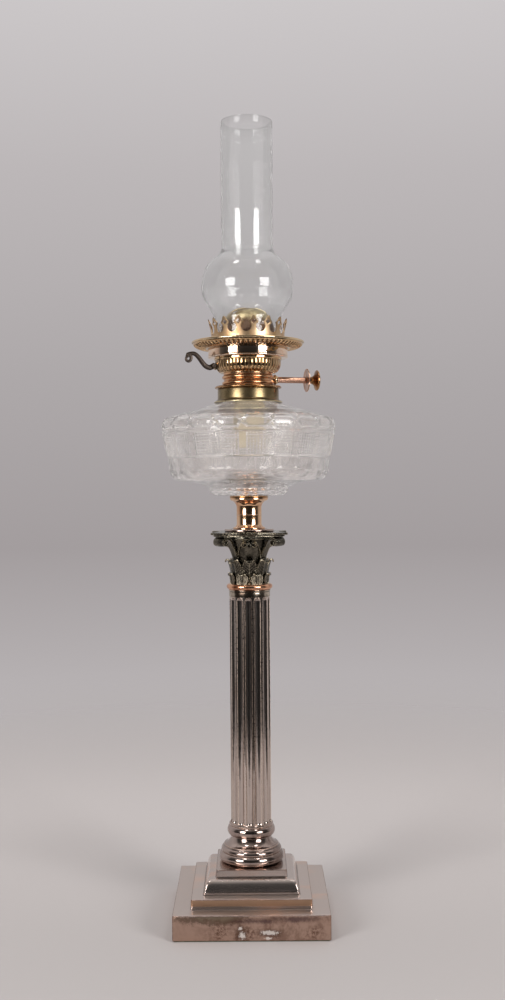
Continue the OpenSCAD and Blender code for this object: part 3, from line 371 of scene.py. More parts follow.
def plinth_plate():
    """Silver plate worn to its copper on the stepped base, with the marks of its front, and painted shade on its
    upright faces and in its corners.
    """
    f = Finish("worn_silver_plate", metallic=1.0)
    silver = srgb(214, 200, 193)
    copper = srgb(236, 200, 180)
    brown = srgb(120, 80, 60)
    green = srgb(158, 146, 122)
    broad = f.noise(26, 4, 0.55, f.stretch((0.6, 0.6, 1.6)), 0.8)
    fine = f.noise(420, 4, 0.65)
    grain = f.noise(160, 4, 0.6, f.stretch((0.5, 0.5, 6.0)))
    edge = f.edge()
    plinth_side = f.step(f.z, 0.0232, 0.0222)
    step_side = f.math("MULTIPLY", f.step(f.z, 0.0258, 0.0270), f.step(f.z, 0.0322, 0.0316))
    bare = f.math("ADD", f.math("MULTIPLY", plinth_side, 0.30), f.math("MULTIPLY", step_side, 0.44))
    bare = f.math("ADD", bare, f.math("MULTIPLY_ADD", fine, 0.16, broad))
    worn = f.step(bare, 0.56, 0.86)
    colour = f.mix(worn, silver, copper)
    ragged = f.math("MULTIPLY_ADD", f.noise(130, 5, 0.75), 2.4, -1.2)
    on_front = f.math("MULTIPLY", f.step(f.y, -0.0695, -0.0702), plinth_side)
    mottle = f.step(f.math("MULTIPLY_ADD", fine, 0.3, f.noise(75, 4, 0.65, distortion=0.5)), 0.58, 0.80)
    mottle = f.math("MULTIPLY", mottle, f.step(f.x, -0.058, -0.03, 0.25, 1.0))
    colour = f.mix(f.math("MULTIPLY", f.math("MULTIPLY", mottle, plinth_side), 0.45), colour, brown)
    colour = f.mix(f.math("MULTIPLY", step_side, 0.75), colour, srgb(196, 158, 124))
    remains = blotch(f, -34, 22.5, 27, 6.4, ragged, 1.1)
    remains = f.math("MULTIPLY", remains, on_front)
    shore = f.math("MULTIPLY", remains, f.math("SUBTRACT", 1.0, remains))
    colour = f.mix(f.math("MULTIPLY", remains, 0.8), colour, green)
    colour = f.mix(f.math("MULTIPLY", shore, 2.2), colour, srgb(92, 70, 56))
    cloud = f.math("MAXIMUM", blotch(f, 40, 20.2, 26, 3.8, ragged, 1.3), blotch(f, 4, 18.5, 26, 3.0, ragged, 1.3))
    spots = f.math("MAXIMUM", blotch(f, 56, 8.5, 9, 6, ragged, 1.3), blotch(f, -28, 8, 8, 8, ragged, 1.3))
    spots = f.math("MAXIMUM", spots, blotch(f, -3, 8, 12, 8, ragged, 1.3))
    stains = f.math("MAXIMUM", cloud, f.math("MULTIPLY", spots, f.step(fine, 0.38, 0.62)))
    stains = f.math("MULTIPLY", stains, on_front)
    colour = f.mix(f.math("MULTIPLY", stains, 0.8), colour, f.mix(cloud, srgb(116, 76, 58), srgb(96, 74, 80)))
    shreds = f.math("MULTIPLY_ADD", f.noise(700, 5, 0.75), 4.2, -2.1)
    white = f.math("MAXIMUM", blotch(f, -10, 12.2, 1.6, 1.5, shreds, 0.7), blotch(f, -8.6, 5.6, 2.6, 2.8, shreds, 0.7))
    white = f.math("MAXIMUM", white, blotch(f, 15.8, 8.2, 7.4, 1.8, shreds, 0.7))
    white = f.math("MAXIMUM", white, blotch(f, 15.0, 3.2, 2.8, 1.1, shreds, 0.7))
    white = f.math("MULTIPLY", white, on_front)
    around = f.math("MAXIMUM", blotch(f, -9, 8, 5.5, 8, ragged, 1.0), blotch(f, 15.8, 7.6, 12, 4.4, ragged, 1.0))
    colour = f.mix(f.math("MULTIPLY", f.math("MULTIPLY", around, on_front), 0.65), colour, srgb(98, 68, 54))
    colour = f.mix(f.math("MULTIPLY", white, 0.9), colour, srgb(252, 246, 240))
    # Corners darken towards a dark brown: dirt and painted shade.
    corner = f.step(edge, -0.08, -0.6)
    rubbed = f.math("MULTIPLY", f.step(edge, 0.16, 0.5), f.step(fine, 0.35, 0.6, 0.5, 1.0))
    colour = f.mix(f.math("MULTIPLY", rubbed, 0.7), colour, brown)
    colour = f.mix(f.math("MULTIPLY", corner, 0.8), colour, srgb(60, 48, 40))
    # Upright faces of the plinth, step and block darken towards a dark brown, the white spots left out: painted shade.
    block_foot = foot("column_foot") * MM - 0.0066
    block_side = f.step(f.z, block_foot, block_foot + 0.0004)
    tarnish_and_shade = f.math("ADD", f.math("MULTIPLY", plinth_side, 0.44), f.math("MULTIPLY", step_side, 0.34))
    tarnish_and_shade = f.math("MULTIPLY_ADD", block_side, 0.16, tarnish_and_shade)
    colour = f.mix(f.math("MULTIPLY", tarnish_and_shade, f.math("SUBTRACT", 1.0, white)), colour, srgb(62, 42, 34))
    f.set("Base Color", colour)
    flat_top = f.math("MULTIPLY", f.step(f.z, 0.0231, 0.0234), f.step(f.z, 0.0240, 0.0237))
    step_top = f.math("MULTIPLY", f.step(f.z, 0.0319, 0.0322), f.step(f.z, 0.0328, 0.0325))
    rough = f.math("MULTIPLY_ADD", worn, 0.1, 0.11)
    rough = f.math("MULTIPLY_ADD", f.math("MAXIMUM", flat_top, step_top), 0.21, rough)
    rough = f.math("MULTIPLY_ADD", stains, 0.14, rough)
    rough = f.math("MULTIPLY_ADD", f.step(f.z, 0.0345, 0.036), 0.05, rough)
    rough = f.math("MULTIPLY_ADD", f.math("ADD", plinth_side, step_side), 0.12, rough)
    f.set("Roughness", f.math("MULTIPLY_ADD", grain, 0.07, rough))
    height = f.math("ADD", f.math("MULTIPLY", f.noise(42, 2, 0.4), 1.0), f.math("MULTIPLY", fine, 0.05))
    height = f.math("MULTIPLY_ADD", white, 0.25, height)
    f.bump(height, 0.0002, 0.6)
    return f.material


def column_plate(name, light, dark, rub, dark_share, arris_scale, chased=0.0):
    """Tarnished plate of the column, with the copper rubbed through on its arrises."""
    f = Finish(name, metallic=1.0)
    streaks = f.noise(55, 5, 0.6, f.stretch((1.0, 1.0, 0.16)), 0.4)
    fine = f.noise(700, 4, 0.65)
    edge = f.edge()
    black = f.step(f.math("MULTIPLY_ADD", fine, 0.2, streaks), 0.78 - 0.35 * dark_share, 0.98 - 0.3 * dark_share)
    colour = f.mix(black, light, dark)
    # Hollows of the flutes and carving darken towards a near black: dirt and painted shade.
    corner = f.step(edge, -0.05, -0.5)
    colour = f.mix(f.math("MULTIPLY", corner, 0.8), colour, srgb(48, 40, 36))
    rubbed = f.math("MULTIPLY", f.step(edge, 0.12 * arris_scale, 0.5 * arris_scale), f.step(fine, 0.3, 0.55, 0.4, 1.0))
    colour = f.mix(rubbed, colour, rub)
    f.set("Base Color", colour)
    rough = f.math("MULTIPLY_ADD", black, 0.06, 0.075)
    rough = f.math("MULTIPLY_ADD", corner, 0.2, rough)
    rough = f.math("MULTIPLY_ADD", rubbed, 0.28, rough)
    f.set("Roughness", f.math("MULTIPLY_ADD", fine, 0.06, rough))
    height = f.math("MULTIPLY_ADD", fine, 0.03, f.noise(90, 2, 0.5))
    carving = f.noise(420, 3, 0.6, f.stretch((1.0, 1.0, 0.6)), 1.5)
    f.bump(f.math("MULTIPLY_ADD", carving, chased, height), 0.00015, 0.5)
    return f.material


def ring_plate():
    """The ring under the capital: copper on the astragal, tarnished silver below it."""
    f = Finish("neck_ring_plate", metallic=1.0)
    patches = f.noise(90, 4, 0.6)
    split = (foot("neck_ring") + 6.4) * MM
    upper = f.step(f.z, split, split + 0.0006)
    copper = f.mix(f.step(patches, 0.45, 0.65), srgb(226, 172, 138), srgb(160, 104, 74))
    silver = f.mix(f.step(patches, 0.4, 0.62), srgb(190, 176, 160), srgb(104, 88, 76))
    # Corners darken towards a dark brown: dirt and painted shade.
    corner = f.step(f.edge(), -0.1, -0.7)
    f.set("Base Color", f.mix(f.math("MULTIPLY", corner, 0.8), f.mix(upper, silver, copper), srgb(54, 40, 32)))
    f.set("Roughness", f.math("MULTIPLY_ADD", patches, 0.16, 0.1))
    f.bump(f.noise(120, 3, 0.5), 0.0001, 0.5)
    return f.material


def clear_glass(name, tint, wave, dust, solid, cut, ior):
    """Clear glass with slow waves in its surface and a little dust."""
    f = Finish(name, transmission_weight=1.0, ior=ior, base_color=tint, alpha=solid)
    ripple = f.noise(38, 2, 0.4, f.stretch((1.0, 1.0, 0.5)))
    specks = f.step(f.noise(1500, 2, 0.5), 0.66, 0.8)
    groove = f.step(f.edge(), -0.15, -0.9)
    f.set("Roughness", f.math("MULTIPLY_ADD", groove, 0.25 * cut, f.math("MULTIPLY", specks, dust)))
    f.set("Transmission Weight", f.math("SUBTRACT", 1.0 - 0.03 * cut, f.math("MULTIPLY", groove, 0.45 * cut)))
    f.bump(f.math("MULTIPLY_ADD", specks, 0.02, ripple), wave, 0.5)
    return f.material


def dark_iron():
    """Blackened iron, rubbed to brown metal on its edges."""
    f = Finish("dark_iron", metallic=1.0)
    grain = f.noise(600, 4, 0.65)
    rubbed = f.math("MULTIPLY", f.step(f.edge(), 0.3, 1.0), f.step(grain, 0.4, 0.6))
    colour = f.mix(f.step(grain, 0.4, 0.7), srgb(84, 74, 68), srgb(58, 50, 46))
    f.set("Base Color", f.mix(f.math("MULTIPLY", rubbed, 0.5), colour, srgb(150, 128, 108)))
    f.set("Roughness", f.math("MULTIPLY_ADD", grain, 0.25, 0.28))
    f.bump(grain, 0.0001, 0.6)
    return f.material


def cast_iron():
    f = Finish("cast_iron", metallic=0.6)
    grain = f.noise(900, 5, 0.7)
    f.set("Base Color", f.mix(grain, srgb(70, 66, 64), srgb(36, 33, 31)))
    f.set("Roughness", f.math("MULTIPLY_ADD", grain, 0.3, 0.5))
    f.bump(grain, 0.0004, 0.8)
    return f.material


def plain_steel():
    f = Finish("plain_steel", metallic=1.0)
    lines = f.noise(500, 3, 0.6, f.stretch((3.0, 3.0, 0.3)))
    f.set("Base Color", f.mix(lines, srgb(190, 188, 184), srgb(120, 114, 108)))
    f.set("Roughness", f.math("MULTIPLY_ADD", lines, 0.2, 0.22))
    f.bump(lines, 0.00008, 0.5)
    return f.material


def oiled_wood():
    f = Finish("oiled_wood", specular_ior_level=0.4)
    grain = f.noise(60, 5, 0.6, f.stretch((0.6, 9.0, 9.0)), 1.2)
    pores = f.step(f.noise(800, 2, 0.5, f.stretch((0.15, 1.0, 1.0))), 0.6, 0.75)
    colour = f.mix(f.step(grain, 0.35, 0.7), srgb(142, 98, 62), srgb(92, 58, 36))
    f.set("Base Color", f.mix(f.math("MULTIPLY", pores, 0.6), colour, srgb(48, 30, 20)))
    f.set("Roughness", f.math("MULTIPLY_ADD", grain, 0.2, 0.45))
    f.bump(f.math("SUBTRACT", grain, pores), 0.0003, 0.5)
    return f.material


def baize():
    f = Finish("baize", sheen_weight=0.5, sheen_roughness=0.5)
    fuzz = f.noise(2600, 4, 0.7)
    clumps = f.noise(300, 3, 0.5)
    f.set("Base Color", f.mix(f.math("MULTIPLY_ADD", clumps, 0.5, fuzz), srgb(38, 66, 40), srgb(72, 104, 68)))
    f.set("Roughness", f.math("MULTIPLY_ADD", fuzz, 0.1, 0.85))
    f.bump(fuzz, 0.0005, 0.9)
    return f.material


def cotton():
    """Flat woven wick: threads across and along, charred at the top."""
    f = Finish("cotton_wick", sheen_weight=0.3, sheen_roughness=0.6)
    along = f.math("SINE", f.math("MULTIPLY", f.z, 5200.0))
    turned_x = f.math("ADD", f.math("MULTIPLY", f.x, 0.974), f.math("MULTIPLY", f.y, 0.225))
    across = f.math("SINE", f.math("MULTIPLY", turned_x, 4800.0))
    weave = f.math("MULTIPLY", along, across)
    fuzz = f.noise(1800, 3, 0.6)
    high = top("wick_front") * MM
    char = f.step(f.math("MULTIPLY_ADD", fuzz, 0.0012, f.z), high - 0.0018, high + 0.0002)
    colour = f.mix(f.step(weave, -0.6, 0.8), srgb(134, 124, 104), srgb(166, 154, 130))
    f.set("Base Color", f.mix(char, colour, srgb(40, 32, 26)))
    f.set("Roughness", 0.9)
    f.bump(f.math("MULTIPLY_ADD", fuzz, 0.4, weave), 0.0002, 0.8)
    return f.material


# Base and column

def rounded_square(half, corner, side_steps=28, corner_steps=4):
    """Points round a square with rounded corners."""
    corner = min(corner, half * 0.6)
    flat = half - corner
    points = []
    for side in range(4):
        turn = Matrix.Rotation(side * math.pi / 2, 2)
        for i in range(side_steps):
            points.append(turn @ Vector((half, -flat + 2 * flat * i / side_steps)))
        for i in range(corner_steps):
            a = math.pi / 2 * i / corner_steps
            points.append(turn @ Vector((flat + corner * math.cos(a), flat + corner * math.sin(a))))
    return points


def base_shell(material):
    """The stamped square shell: four mitred mouldings with soft worn edges and a thin wall."""
    half_plinth, half_step, half_ovolo, half_ovolo_top, half_block = 71.0, 55.0, 44.0, 37.6, 32.6
    z_rim = foot("base_shell")
    z_plinth, z_step, z_ovolo, z_block = 23.5, 32.3, 45.3, top("base_shell")
    wall = 1.2
    outside = [(half_plinth - 0.4, z_rim), (half_plinth, z_rim + 0.5), (half_plinth, z_plinth),
               (half_step, z_plinth), (half_step, z_step), (half_ovolo, z_step), (half_ovolo, z_step + 2.3)]
    start = math.radians(24)
    across = (half_ovolo - 0.7 - half_ovolo_top) / math.cos(start)
    up = (z_ovolo - z_step - 2.6) / (1 - math.sin(start))
    outside += arc(half_ovolo_top, z_ovolo - up, across, up, 24, 90, 14)
    outside += [(half_block, z_ovolo), (half_block, z_block), (26, z_block), (4, z_block)]
    inside = [(4, z_block - wall), (half_block - wall, z_block - wall), (half_block - wall, z_ovolo - wall),
              (half_ovolo_top - wall, z_ovolo - wall), (half_ovolo - 3 * wall, z_step - wall),
              (half_step - wall, z_step - wall), (half_step - wall, z_plinth - wall),
              (half_plinth - wall, z_plinth - wall), (half_plinth - wall, z_rim)]
    outline = refine(soften(outside, 0.75, False), 6.0, False) + [Vector(p) for p in inside]
    points = []
    for half, z in outline:
        for x, y in rounded_square(half, 1.3):
            sway = noise.noise(Vector((x, y, z)) * 0.035) * 0.16
            points.append((x + sway, y + sway, z + (sway if z > z_rim + 1 else 0)))
    columns = len(rounded_square(1, 0.1))
    faces = grid_faces(len(outline), columns, True, True)
    mesh = mesh_from("base_shell_looks", points, faces)
    stand_for(finish_mesh("base_shell_looks", mesh), "base_shell", material)


def column_foot(material):
    high = top("column_foot") - foot("column_foot")
    low_r, neck, shaft_r, bore = 5.3, 25.2, 19.0, 13.4
    outline = [(22, 0), (30.7 - low_r, 0)]
    outline += arc(30.7 - low_r, low_r, low_r, low_r, -90, 78, 18)
    outline += [(28.3, 10.3), (28.3, 11.3)]
    outline += arc(neck, 11.3, 3.2, 3.2, 0, 75, 8)
    outline += [(neck + 0.5, 15), (neck + 0.5, 16.2)]
    outline += arc(neck + 3.1, high - 9, 10, 10, 250, 188, 12)
    outline += [(shaft_r - 1.1, high - 11.3)]
    outline += arc(shaft_r - 1.5, high - 5.6, 5.1, 5.7, -82, 62, 18)
    outline += [(shaft_r + 1.7, high - 0.8), (shaft_r + 1.8, high + 0.3), (shaft_r + 1.2, high + 1.0),
                (shaft_r + 0.5, high + 1.9), (shaft_r + 0.05, high + 1.9), (shaft_r + 0.05, high),
                (bore, high), (bore, 18), (22, 8)]
    turned("column_foot", outline, foot("column_foot"), material, 160)


def fluted_shaft(material):
    """The shaft with round flutes that end in quarter balls and narrow lands between them."""
    count, width, depth, turn = 14, 6.4, 1.7, math.radians(3.7)
    r, bore = 19.0, 15.4
    long = top("fluted_shaft") - foot("fluted_shaft")
    z0 = foot("fluted_shaft")
    ball = (width * width / 4 + depth * depth) / (2 * depth)
    reach = r * math.cos(math.asin(width / 2 / r)) + ball - depth
    end = 3.7
    steps, land = 14, 4
    heights = [end - ball * math.cos(math.pi / 2 * i / 12) for i in range(12)]
    heights = [0.0] + [z for z in heights if z > 0.2] + [end]
    middle = [end + (long - 2 * end) * i / 24 for i in range(1, 24)]
    heights = heights + middle + [long - z for z in reversed(heights)]
    points = []
    for z in heights:
        off = max(end - z, z - (long - end), 0)
        cut = math.sqrt(max(ball * ball - off * off, 0))
        nearest = (reach * reach + r * r - cut * cut) / (2 * reach * r)
        mouth = math.acos(min(nearest, 1)) if reach - cut < r else 0.0005
        mouth = max(mouth, 0.0005)
        for k in range(count):
            centre = FRONT - turn + 2 * math.pi * k / count
            for i in range(steps):
                a = -mouth + 2 * mouth * i / steps
                side = reach * math.sin(a)
                inside = cut * cut - side * side
                radius = min(r, reach * math.cos(a) - math.sqrt(inside)) if inside > 0 else r
                points.append((radius * math.cos(centre + a), radius * math.sin(centre + a), z0 + z))
            gap = 2 * math.pi / count - 2 * mouth
            for i in range(land):
                a = mouth + gap * i / land
                points.append((r * math.cos(centre + a), r * math.sin(centre + a), z0 + z))
    columns = count * (steps + land)
    for z in (long, 0.0):
        for i in range(columns):
            a = math.atan2(points[i][1], points[i][0])
            points.append((bore * math.cos(a), bore * math.sin(a), z0 + z))
    faces = grid_faces(len(heights) + 2, columns, True, True)
    mesh = mesh_from("fluted_shaft_looks", points, faces)
    stand_for(finish_mesh("fluted_shaft_looks", mesh, 28), "fluted_shaft", material)


def neck_ring(material):
    high = top("neck_ring") - foot("neck_ring")
    r, bead, outer = 19.0, 2.65, 21.8
    outline = [(12.5, 0), (r + 0.5, 0), (r + 0.5, 4.6), (r - 0.1, 4.9), (r - 0.1, 5.3), (r + 0.9, 5.4),
               (r + 0.9, 6.8)]
    outline += arc(outer - bead, high - bead, bead, bead, -90, 90, 16) + [(12.5, high)]
    turned("neck_ring", outline, foot("neck_ring"), material)


# Capital

BELL_R = 15.2
BELL_WAIST = 18.0


def capital_bell(material):
    high = top("capital_bell") - foot("capital_bell")
    rise = high - 2.4 - BELL_WAIST
    outline = [(11, 0), (BELL_R, 0)]
    outline += [(BELL_R + 10 * max(0, t * rise / (high - BELL_WAIST)) ** 1.6, BELL_WAIST + t * rise)
                for t in [i / 16 for i in range(17)]]
    outline += [(BELL_R + 10, high - 2.4), (BELL_R + 10, high), (11, high)]
    turned("capital_bell", outline, foot("capital_bell"), material)


def leaf_spine(v, root, rise, lean, curl):
    """Middle line of a leaf: up the bell, then rolled over at its tip."""
    if v < 0.7:
        return Vector((root + lean * (v / 0.7) ** 2, rise * v / 0.7))
    a = math.radians(180 - 215 * (v - 0.7) / 0.3)
    return Vector((root + lean + curl + curl * math.cos(a), rise + curl * math.sin(a)))


def leaf_half(v, w):
    """Half width of a leaf, with three large lobes a side and fine teeth on them."""
    body = 0.72 + 0.28 * math.sin(math.pi * v / 0.7) if v < 0.7 else 0.72 - 0.5 * (v - 0.7) / 0.3
    lobes = 0.86 + 0.2 * abs(math.cos(math.pi * 3.5 * v)) ** 0.6
    teeth = 1 + 0.045 * math.cos(2 * math.pi * 15 * v)
    return w * body * lobes * teeth


def leaf_relief(u, v, across=10.0):
    """Height of the midrib and of the veins that fan out from it, in mm."""
    side = abs(u)
    midrib = 0.6 * math.exp(-(side / 0.1) ** 2) * (1 - 0.5 * v)
    veins = 0.2 * math.cos(2 * math.pi * (3.5 * 3 * v - 1.9 * side)) * side ** 0.6 * (1 - 0.3 * side)
    return midrib + veins + 0.45 * (1 - side) ** 1.5 + 0.3 * side * side


def leaf_points(depth, root, rise, lean, curl, w, turn, z0, rows, columns):
    points = []
    for j in range(rows):
        v = j / (rows - 1)
        here = leaf_spine(v, root, rise, lean, curl)
        along = leaf_spine(min(1, v + 0.02), root, rise, lean, curl) - leaf_spine(max(0, v - 0.02), root, rise, lean, curl)
        out = Vector((along.y, -along.x)).normalized()
        for i in range(columns):
            u = 2 * i / (columns - 1) - 1
            lift = depth + leaf_relief(u, v) if depth > 0 else 0
            r = here.x + out.x * lift
            z = max(0.0, here.y + out.y * lift)
            a = turn + u * leaf_half(v, w) / root
            points.append((r * math.cos(a), r * math.sin(a), z0 + z))
    return points


def leaves(node, material, root, rise, lean, curl, w, first):
    """A ring of eight acanthus leaves."""
    rows, columns, thick = 64, 25, 0.75
    z0 = foot("capital_bell")
    points = []
    faces = []
    for k in range(8):
        start = len(points)
        turn = first + 2 * math.pi * k / 8
        points += leaf_points(thick, root, rise, lean, curl, w, turn, z0, rows, columns)
        points += leaf_points(0, root, rise, lean, curl, w, turn, z0, rows, columns)
        back = start + rows * columns
        faces += grid_faces(rows, columns, first=start)
        faces += [tuple(reversed(face)) for face in grid_faces(rows, columns, first=back)]
        rim = [i for i in range(columns)] + [j * columns + columns - 1 for j in range(1, rows)]
        rim += [(rows - 1) * columns + i for i in range(columns - 2, -1, -1)]
        rim += [j * columns for j in range(rows - 2, 0, -1)]
        for i, index in enumerate(rim):
            after = rim[(i + 1) % len(rim)]
            faces.append((start + after, start + index, back + index, back + after))
    mesh = mesh_from(node + "_looks", points, faces)
    stand_for(finish_mesh(node + "_looks", mesh, 50), node, material)


def ribbon_solid(path, widths, half_depth, bulge, edge_steps=6):
    """A band that follows a path in a plane: (across, up) points with a rounded outer face."""
    rows = []
    count = len(path)
    for i, point in enumerate(path):
        ahead = Vector(path[min(i + 1, count - 1)]) - Vector(path[max(i - 1, 0)])
        normal = Vector((-ahead.y, ahead.x)).normalized()
        centre = Vector(point)
        ring = []
        for s in (1, -1):
            for k in range(edge_steps + 1):
                t = 1 - 2 * k / edge_steps
                depth = half_depth[i] * t * s
                swell = bulge * (1 - t * t) if s > 0 else 0
                edge = centre + normal * s * (widths[i] / 2 + swell)
                ring.append((edge.x, edge.y, depth))
        rows.append(ring)
    return rows


def band_mesh(rows, first=0):
    columns = len(rows[0])
    points = [p for ring in rows for p in ring]
    faces = grid_faces(len(rows), columns, False, True, first)
    faces.append(tuple(first + i for i in range(columns)))
    last = first + (len(rows) - 1) * columns
    faces.append(tuple(last + i for i in reversed(range(columns))))
    return points, faces


def scroll_path(centre, radius, stem, turns, start):
    """A rising stem that rolls up round a centre."""
    path = [tuple(p) for p in stem]
    steps = round(40 * turns)
    for i in range(steps + 1):
        s = i / steps
        a = math.radians(start - 360 * turns * s)
        r = radius - (radius - 1) * s
        path.append((centre[0] + r * math.cos(a), centre[1] + r * math.sin(a)))
    return path


def smooth_path(path, steps=4):
    """A smooth curve through the points of a path."""
    points = [Vector(p) for p in path]
    points = [2 * points[0] - points[1]] + points + [2 * points[-1] - points[-2]]
    smooth = []
    for i in range(1, len(points) - 2):
        a, b, c, d = points[i - 1:i + 3]
        for k in range(steps):
            t = k / steps
            smooth.append(((b * 2) + (c - a) * t + (a * 2 - b * 5 + c * 4 - d) * t * t
                           + (b * 3 - a - c * 3 + d) * t ** 3) / 2)
    smooth.append(points[-2])
    return smooth


def corner_volutes(material):
    """Four wide scrolls under the corners of the abacus, hollowed across their faces."""
    high = top("capital_bell") - foot("capital_bell")
    h = high - 45
    r, reach, half = 4.7, 41.3, 6.5
    stem = [(17.8, h + 25), (20.3, h + 30), (22.6, h + 34), (25.8, h + 38.6), (30, h + 42.2)]
    path = scroll_path((reach - r, high - 0.3 - r), r - 1, [], 1.45, 105)
    path = smooth_path(stem + path[:1], 6)[:-1] + path
    widths = [2.0 * (1 - 0.4 * i / len(path)) for i in range(len(path))]
    depth = [min(half, max(2.9, 3.0 + (Vector(p)[0] - 24) * 0.36)) for p in path]
    rows = ribbon_solid(path, widths, depth, 0.5, 8)
    z0 = foot("capital_bell")
    points = []
    faces = []
    for k in range(4):
        a = math.radians(45 + 90 * k)
        more, rims = band_mesh(rows, len(points))
        faces += rims
        points += [(x * math.cos(a) - d * math.sin(a), x * math.sin(a) + d * math.cos(a), z0 + z)
                   for x, z, d in more]
    mesh = mesh_from("corner_volutes_looks", points, faces)
    stand_for(finish_mesh("corner_volutes_looks", mesh, 40), "corner_volutes", material)


def helices(material):
    """Small scrolls in pairs under the middle of each side, thin and laid along the bell."""
    high = top("capital_bell") - foot("capital_bell")
    h = high - 45
    centre_u, scroll_r = 4.4, 2.9
    stem = [(10.2, h + 27.5), (9.9, h + 31), (9.0, h + 34.6), (7.4, h + 38)]
    path = scroll_path((centre_u, h + 37.6), scroll_r, [], 1.3, 60)
    path = smooth_path(stem + path[:1], 5)[:-1] + path
    count = len(path)
    z0 = foot("capital_bell")
    points = []
    faces = []
    for side in range(4):
        for s in (1, -1):
            rows = []
            for i, here in enumerate(path):
                ahead = (Vector(path[min(i + 1, count - 1)]) - Vector(path[max(i - 1, 0)])).normalized()
                across = Vector((-ahead.y, ahead.x)) * (0.95 - 0.35 * i / count)
                bell = BELL_R + 10 * (max(0, here[1] - BELL_WAIST) / (high - BELL_WAIST)) ** 1.6
                near = math.sqrt(max(bell * bell - here[0] * here[0], 1))
                ring = []
                for k in range(8):
                    a = 2 * math.pi * k / 8
                    spot = Vector(here) + across * math.cos(a)
                    ring.append((s * spot.x, near + 0.9 + 1.3 * math.sin(a), spot.y))
                rows.append(ring)
            more, rims = band_mesh(rows, len(points))
            faces += rims
            turn = FRONT + side * math.pi / 2
            points += [(out * math.cos(turn) - u * math.sin(turn), out * math.sin(turn) + u * math.cos(turn), z0 + z)
                       for u, out, z in more]
    mesh = mesh_from("helices_looks", points, faces)
    stand_for(finish_mesh("helices_looks", mesh, 50), "helices", material)


def abacus_plan(inset):
    """Square with cut corners and hollow sides, as points in order."""
    half_full, cut_w, hollow = 35.7, 17.0, 8.2
    cut = cut_w / math.sqrt(2)
    chord = half_full - cut
    hollow_r = (chord * chord + hollow * hollow) / (2 * hollow)
    half = half_full - inset
    cx = half_full + hollow_r - hollow
    reach = hollow_r + inset
    span = math.asin(min(1, (half - cut) / reach))
    points = []
    for side in range(4):
        turn = Matrix.Rotation(side * math.pi / 2, 2)
        for i in range(33):
            a = math.pi + span - 2 * span * i / 32
            points.append(turn @ Vector((cx + reach * math.cos(a), reach * math.sin(a))))
        a = points[-1]
        b = Matrix.Rotation((side + 1) * math.pi / 2, 2) @ Vector(
            (cx + reach * math.cos(math.pi + span), reach * math.sin(math.pi + span)))
        points += [a.lerp(b, k / 8) for k in range(1, 8)]
    return points


def abacus(material):
    z0, high = foot("abacus"), top("abacus") - foot("abacus")
    profile = [(1.8, 0), (1.4, 0.2), (1.4, 1.3), (1.1, 1.5), (0.35, 1.6), (0.05, 1.9), (0, 2.3),
               (0, high - 0.4), (0.3, high - 0.05), (0.8, high)]
    points = []
    for inset, z in profile:
        points += [(x, y, z0 + z) for x, y in abacus_plan(inset)]
    columns = len(abacus_plan(0))
    points += [(x * 0.3, y * 0.3, z0 + high) for x, y in abacus_plan(0.8)]
    points += [(x * 0.3, y * 0.3, z0) for x, y in abacus_plan(0.8)]
    faces = grid_faces(len(profile) + 2, columns, True, True)
    mesh = mesh_from("abacus_looks", points, faces)
    stand_for(finish_mesh("abacus_looks", mesh, 28), "abacus", material)


def cap_disc(material):
    high = top("cap_disc") - foot("cap_disc")
    r = 23.5
    outline = [(3.3, 0), (r - 1, 0)] + arc(r - 1.1, high / 2, 1.1, high / 2, -80, 80, 10)
    outline += [(r - 1, high), (17.5, high), (17.2, high - 0.25), (3.3, high - 0.25)]
    turned("cap_disc", outline, foot("cap_disc"), material)


# Font

def font_socket(material):
    high = top("font_socket") - foot("font_socket")
    r, bore = 11.9, 10.4
    outline = [(3.3, 0), (15.4, 0), (15.4, 0.7)] + arc(r + 3.6, 5.2, 3.6, 3.6, 262, 182, 10)
    outline += [(r, 12.7), (r + 0.2, 13.0), (r + 0.2, 13.5), (r, 13.8), (r, high - 9.1)]
    outline += arc(r + 7, high - 9.1, 7, 7, 176, 104, 12)
    outline += [(17.55, high - 2), (18.15, high - 1.3), (18.15, high), (bore, high), (bore, 6), (3.3, 6)]
    turned("font_socket", outline, foot("font_socket"), material)


def font_ferrule(material):
    outline = [(0, -12), (9.5, -12), (10.3, -11.2), (10.3, 0), (18.15, 0), (18.15, 1.7), (17.35, 2.3),
               (13.4, 2.3), (13.2, 9.1), (12.6, 9.3), (0, 9.3)]
    turned("font_ferrule", outline, Z_FERRULE, material, closed=False)


PANELS = 20
FONT_R = 81.9
FONT_FOOT_R = 37.1
BAND_LOW = 36.6
BAND_TOP = 57.2
SHOULDER_LOW = 66.2
SHOULDER_TOP = 74.8
NECK_R = 27.3
FONT_H = 87.4


def slope_point(s, t):
    """Point on the sloping top of the glass, s of the way out and t of the way up."""
    return (NECK_R + s * (FONT_R - 9.6 - NECK_R), SHOULDER_TOP + t * (FONT_H - SHOULDER_TOP))


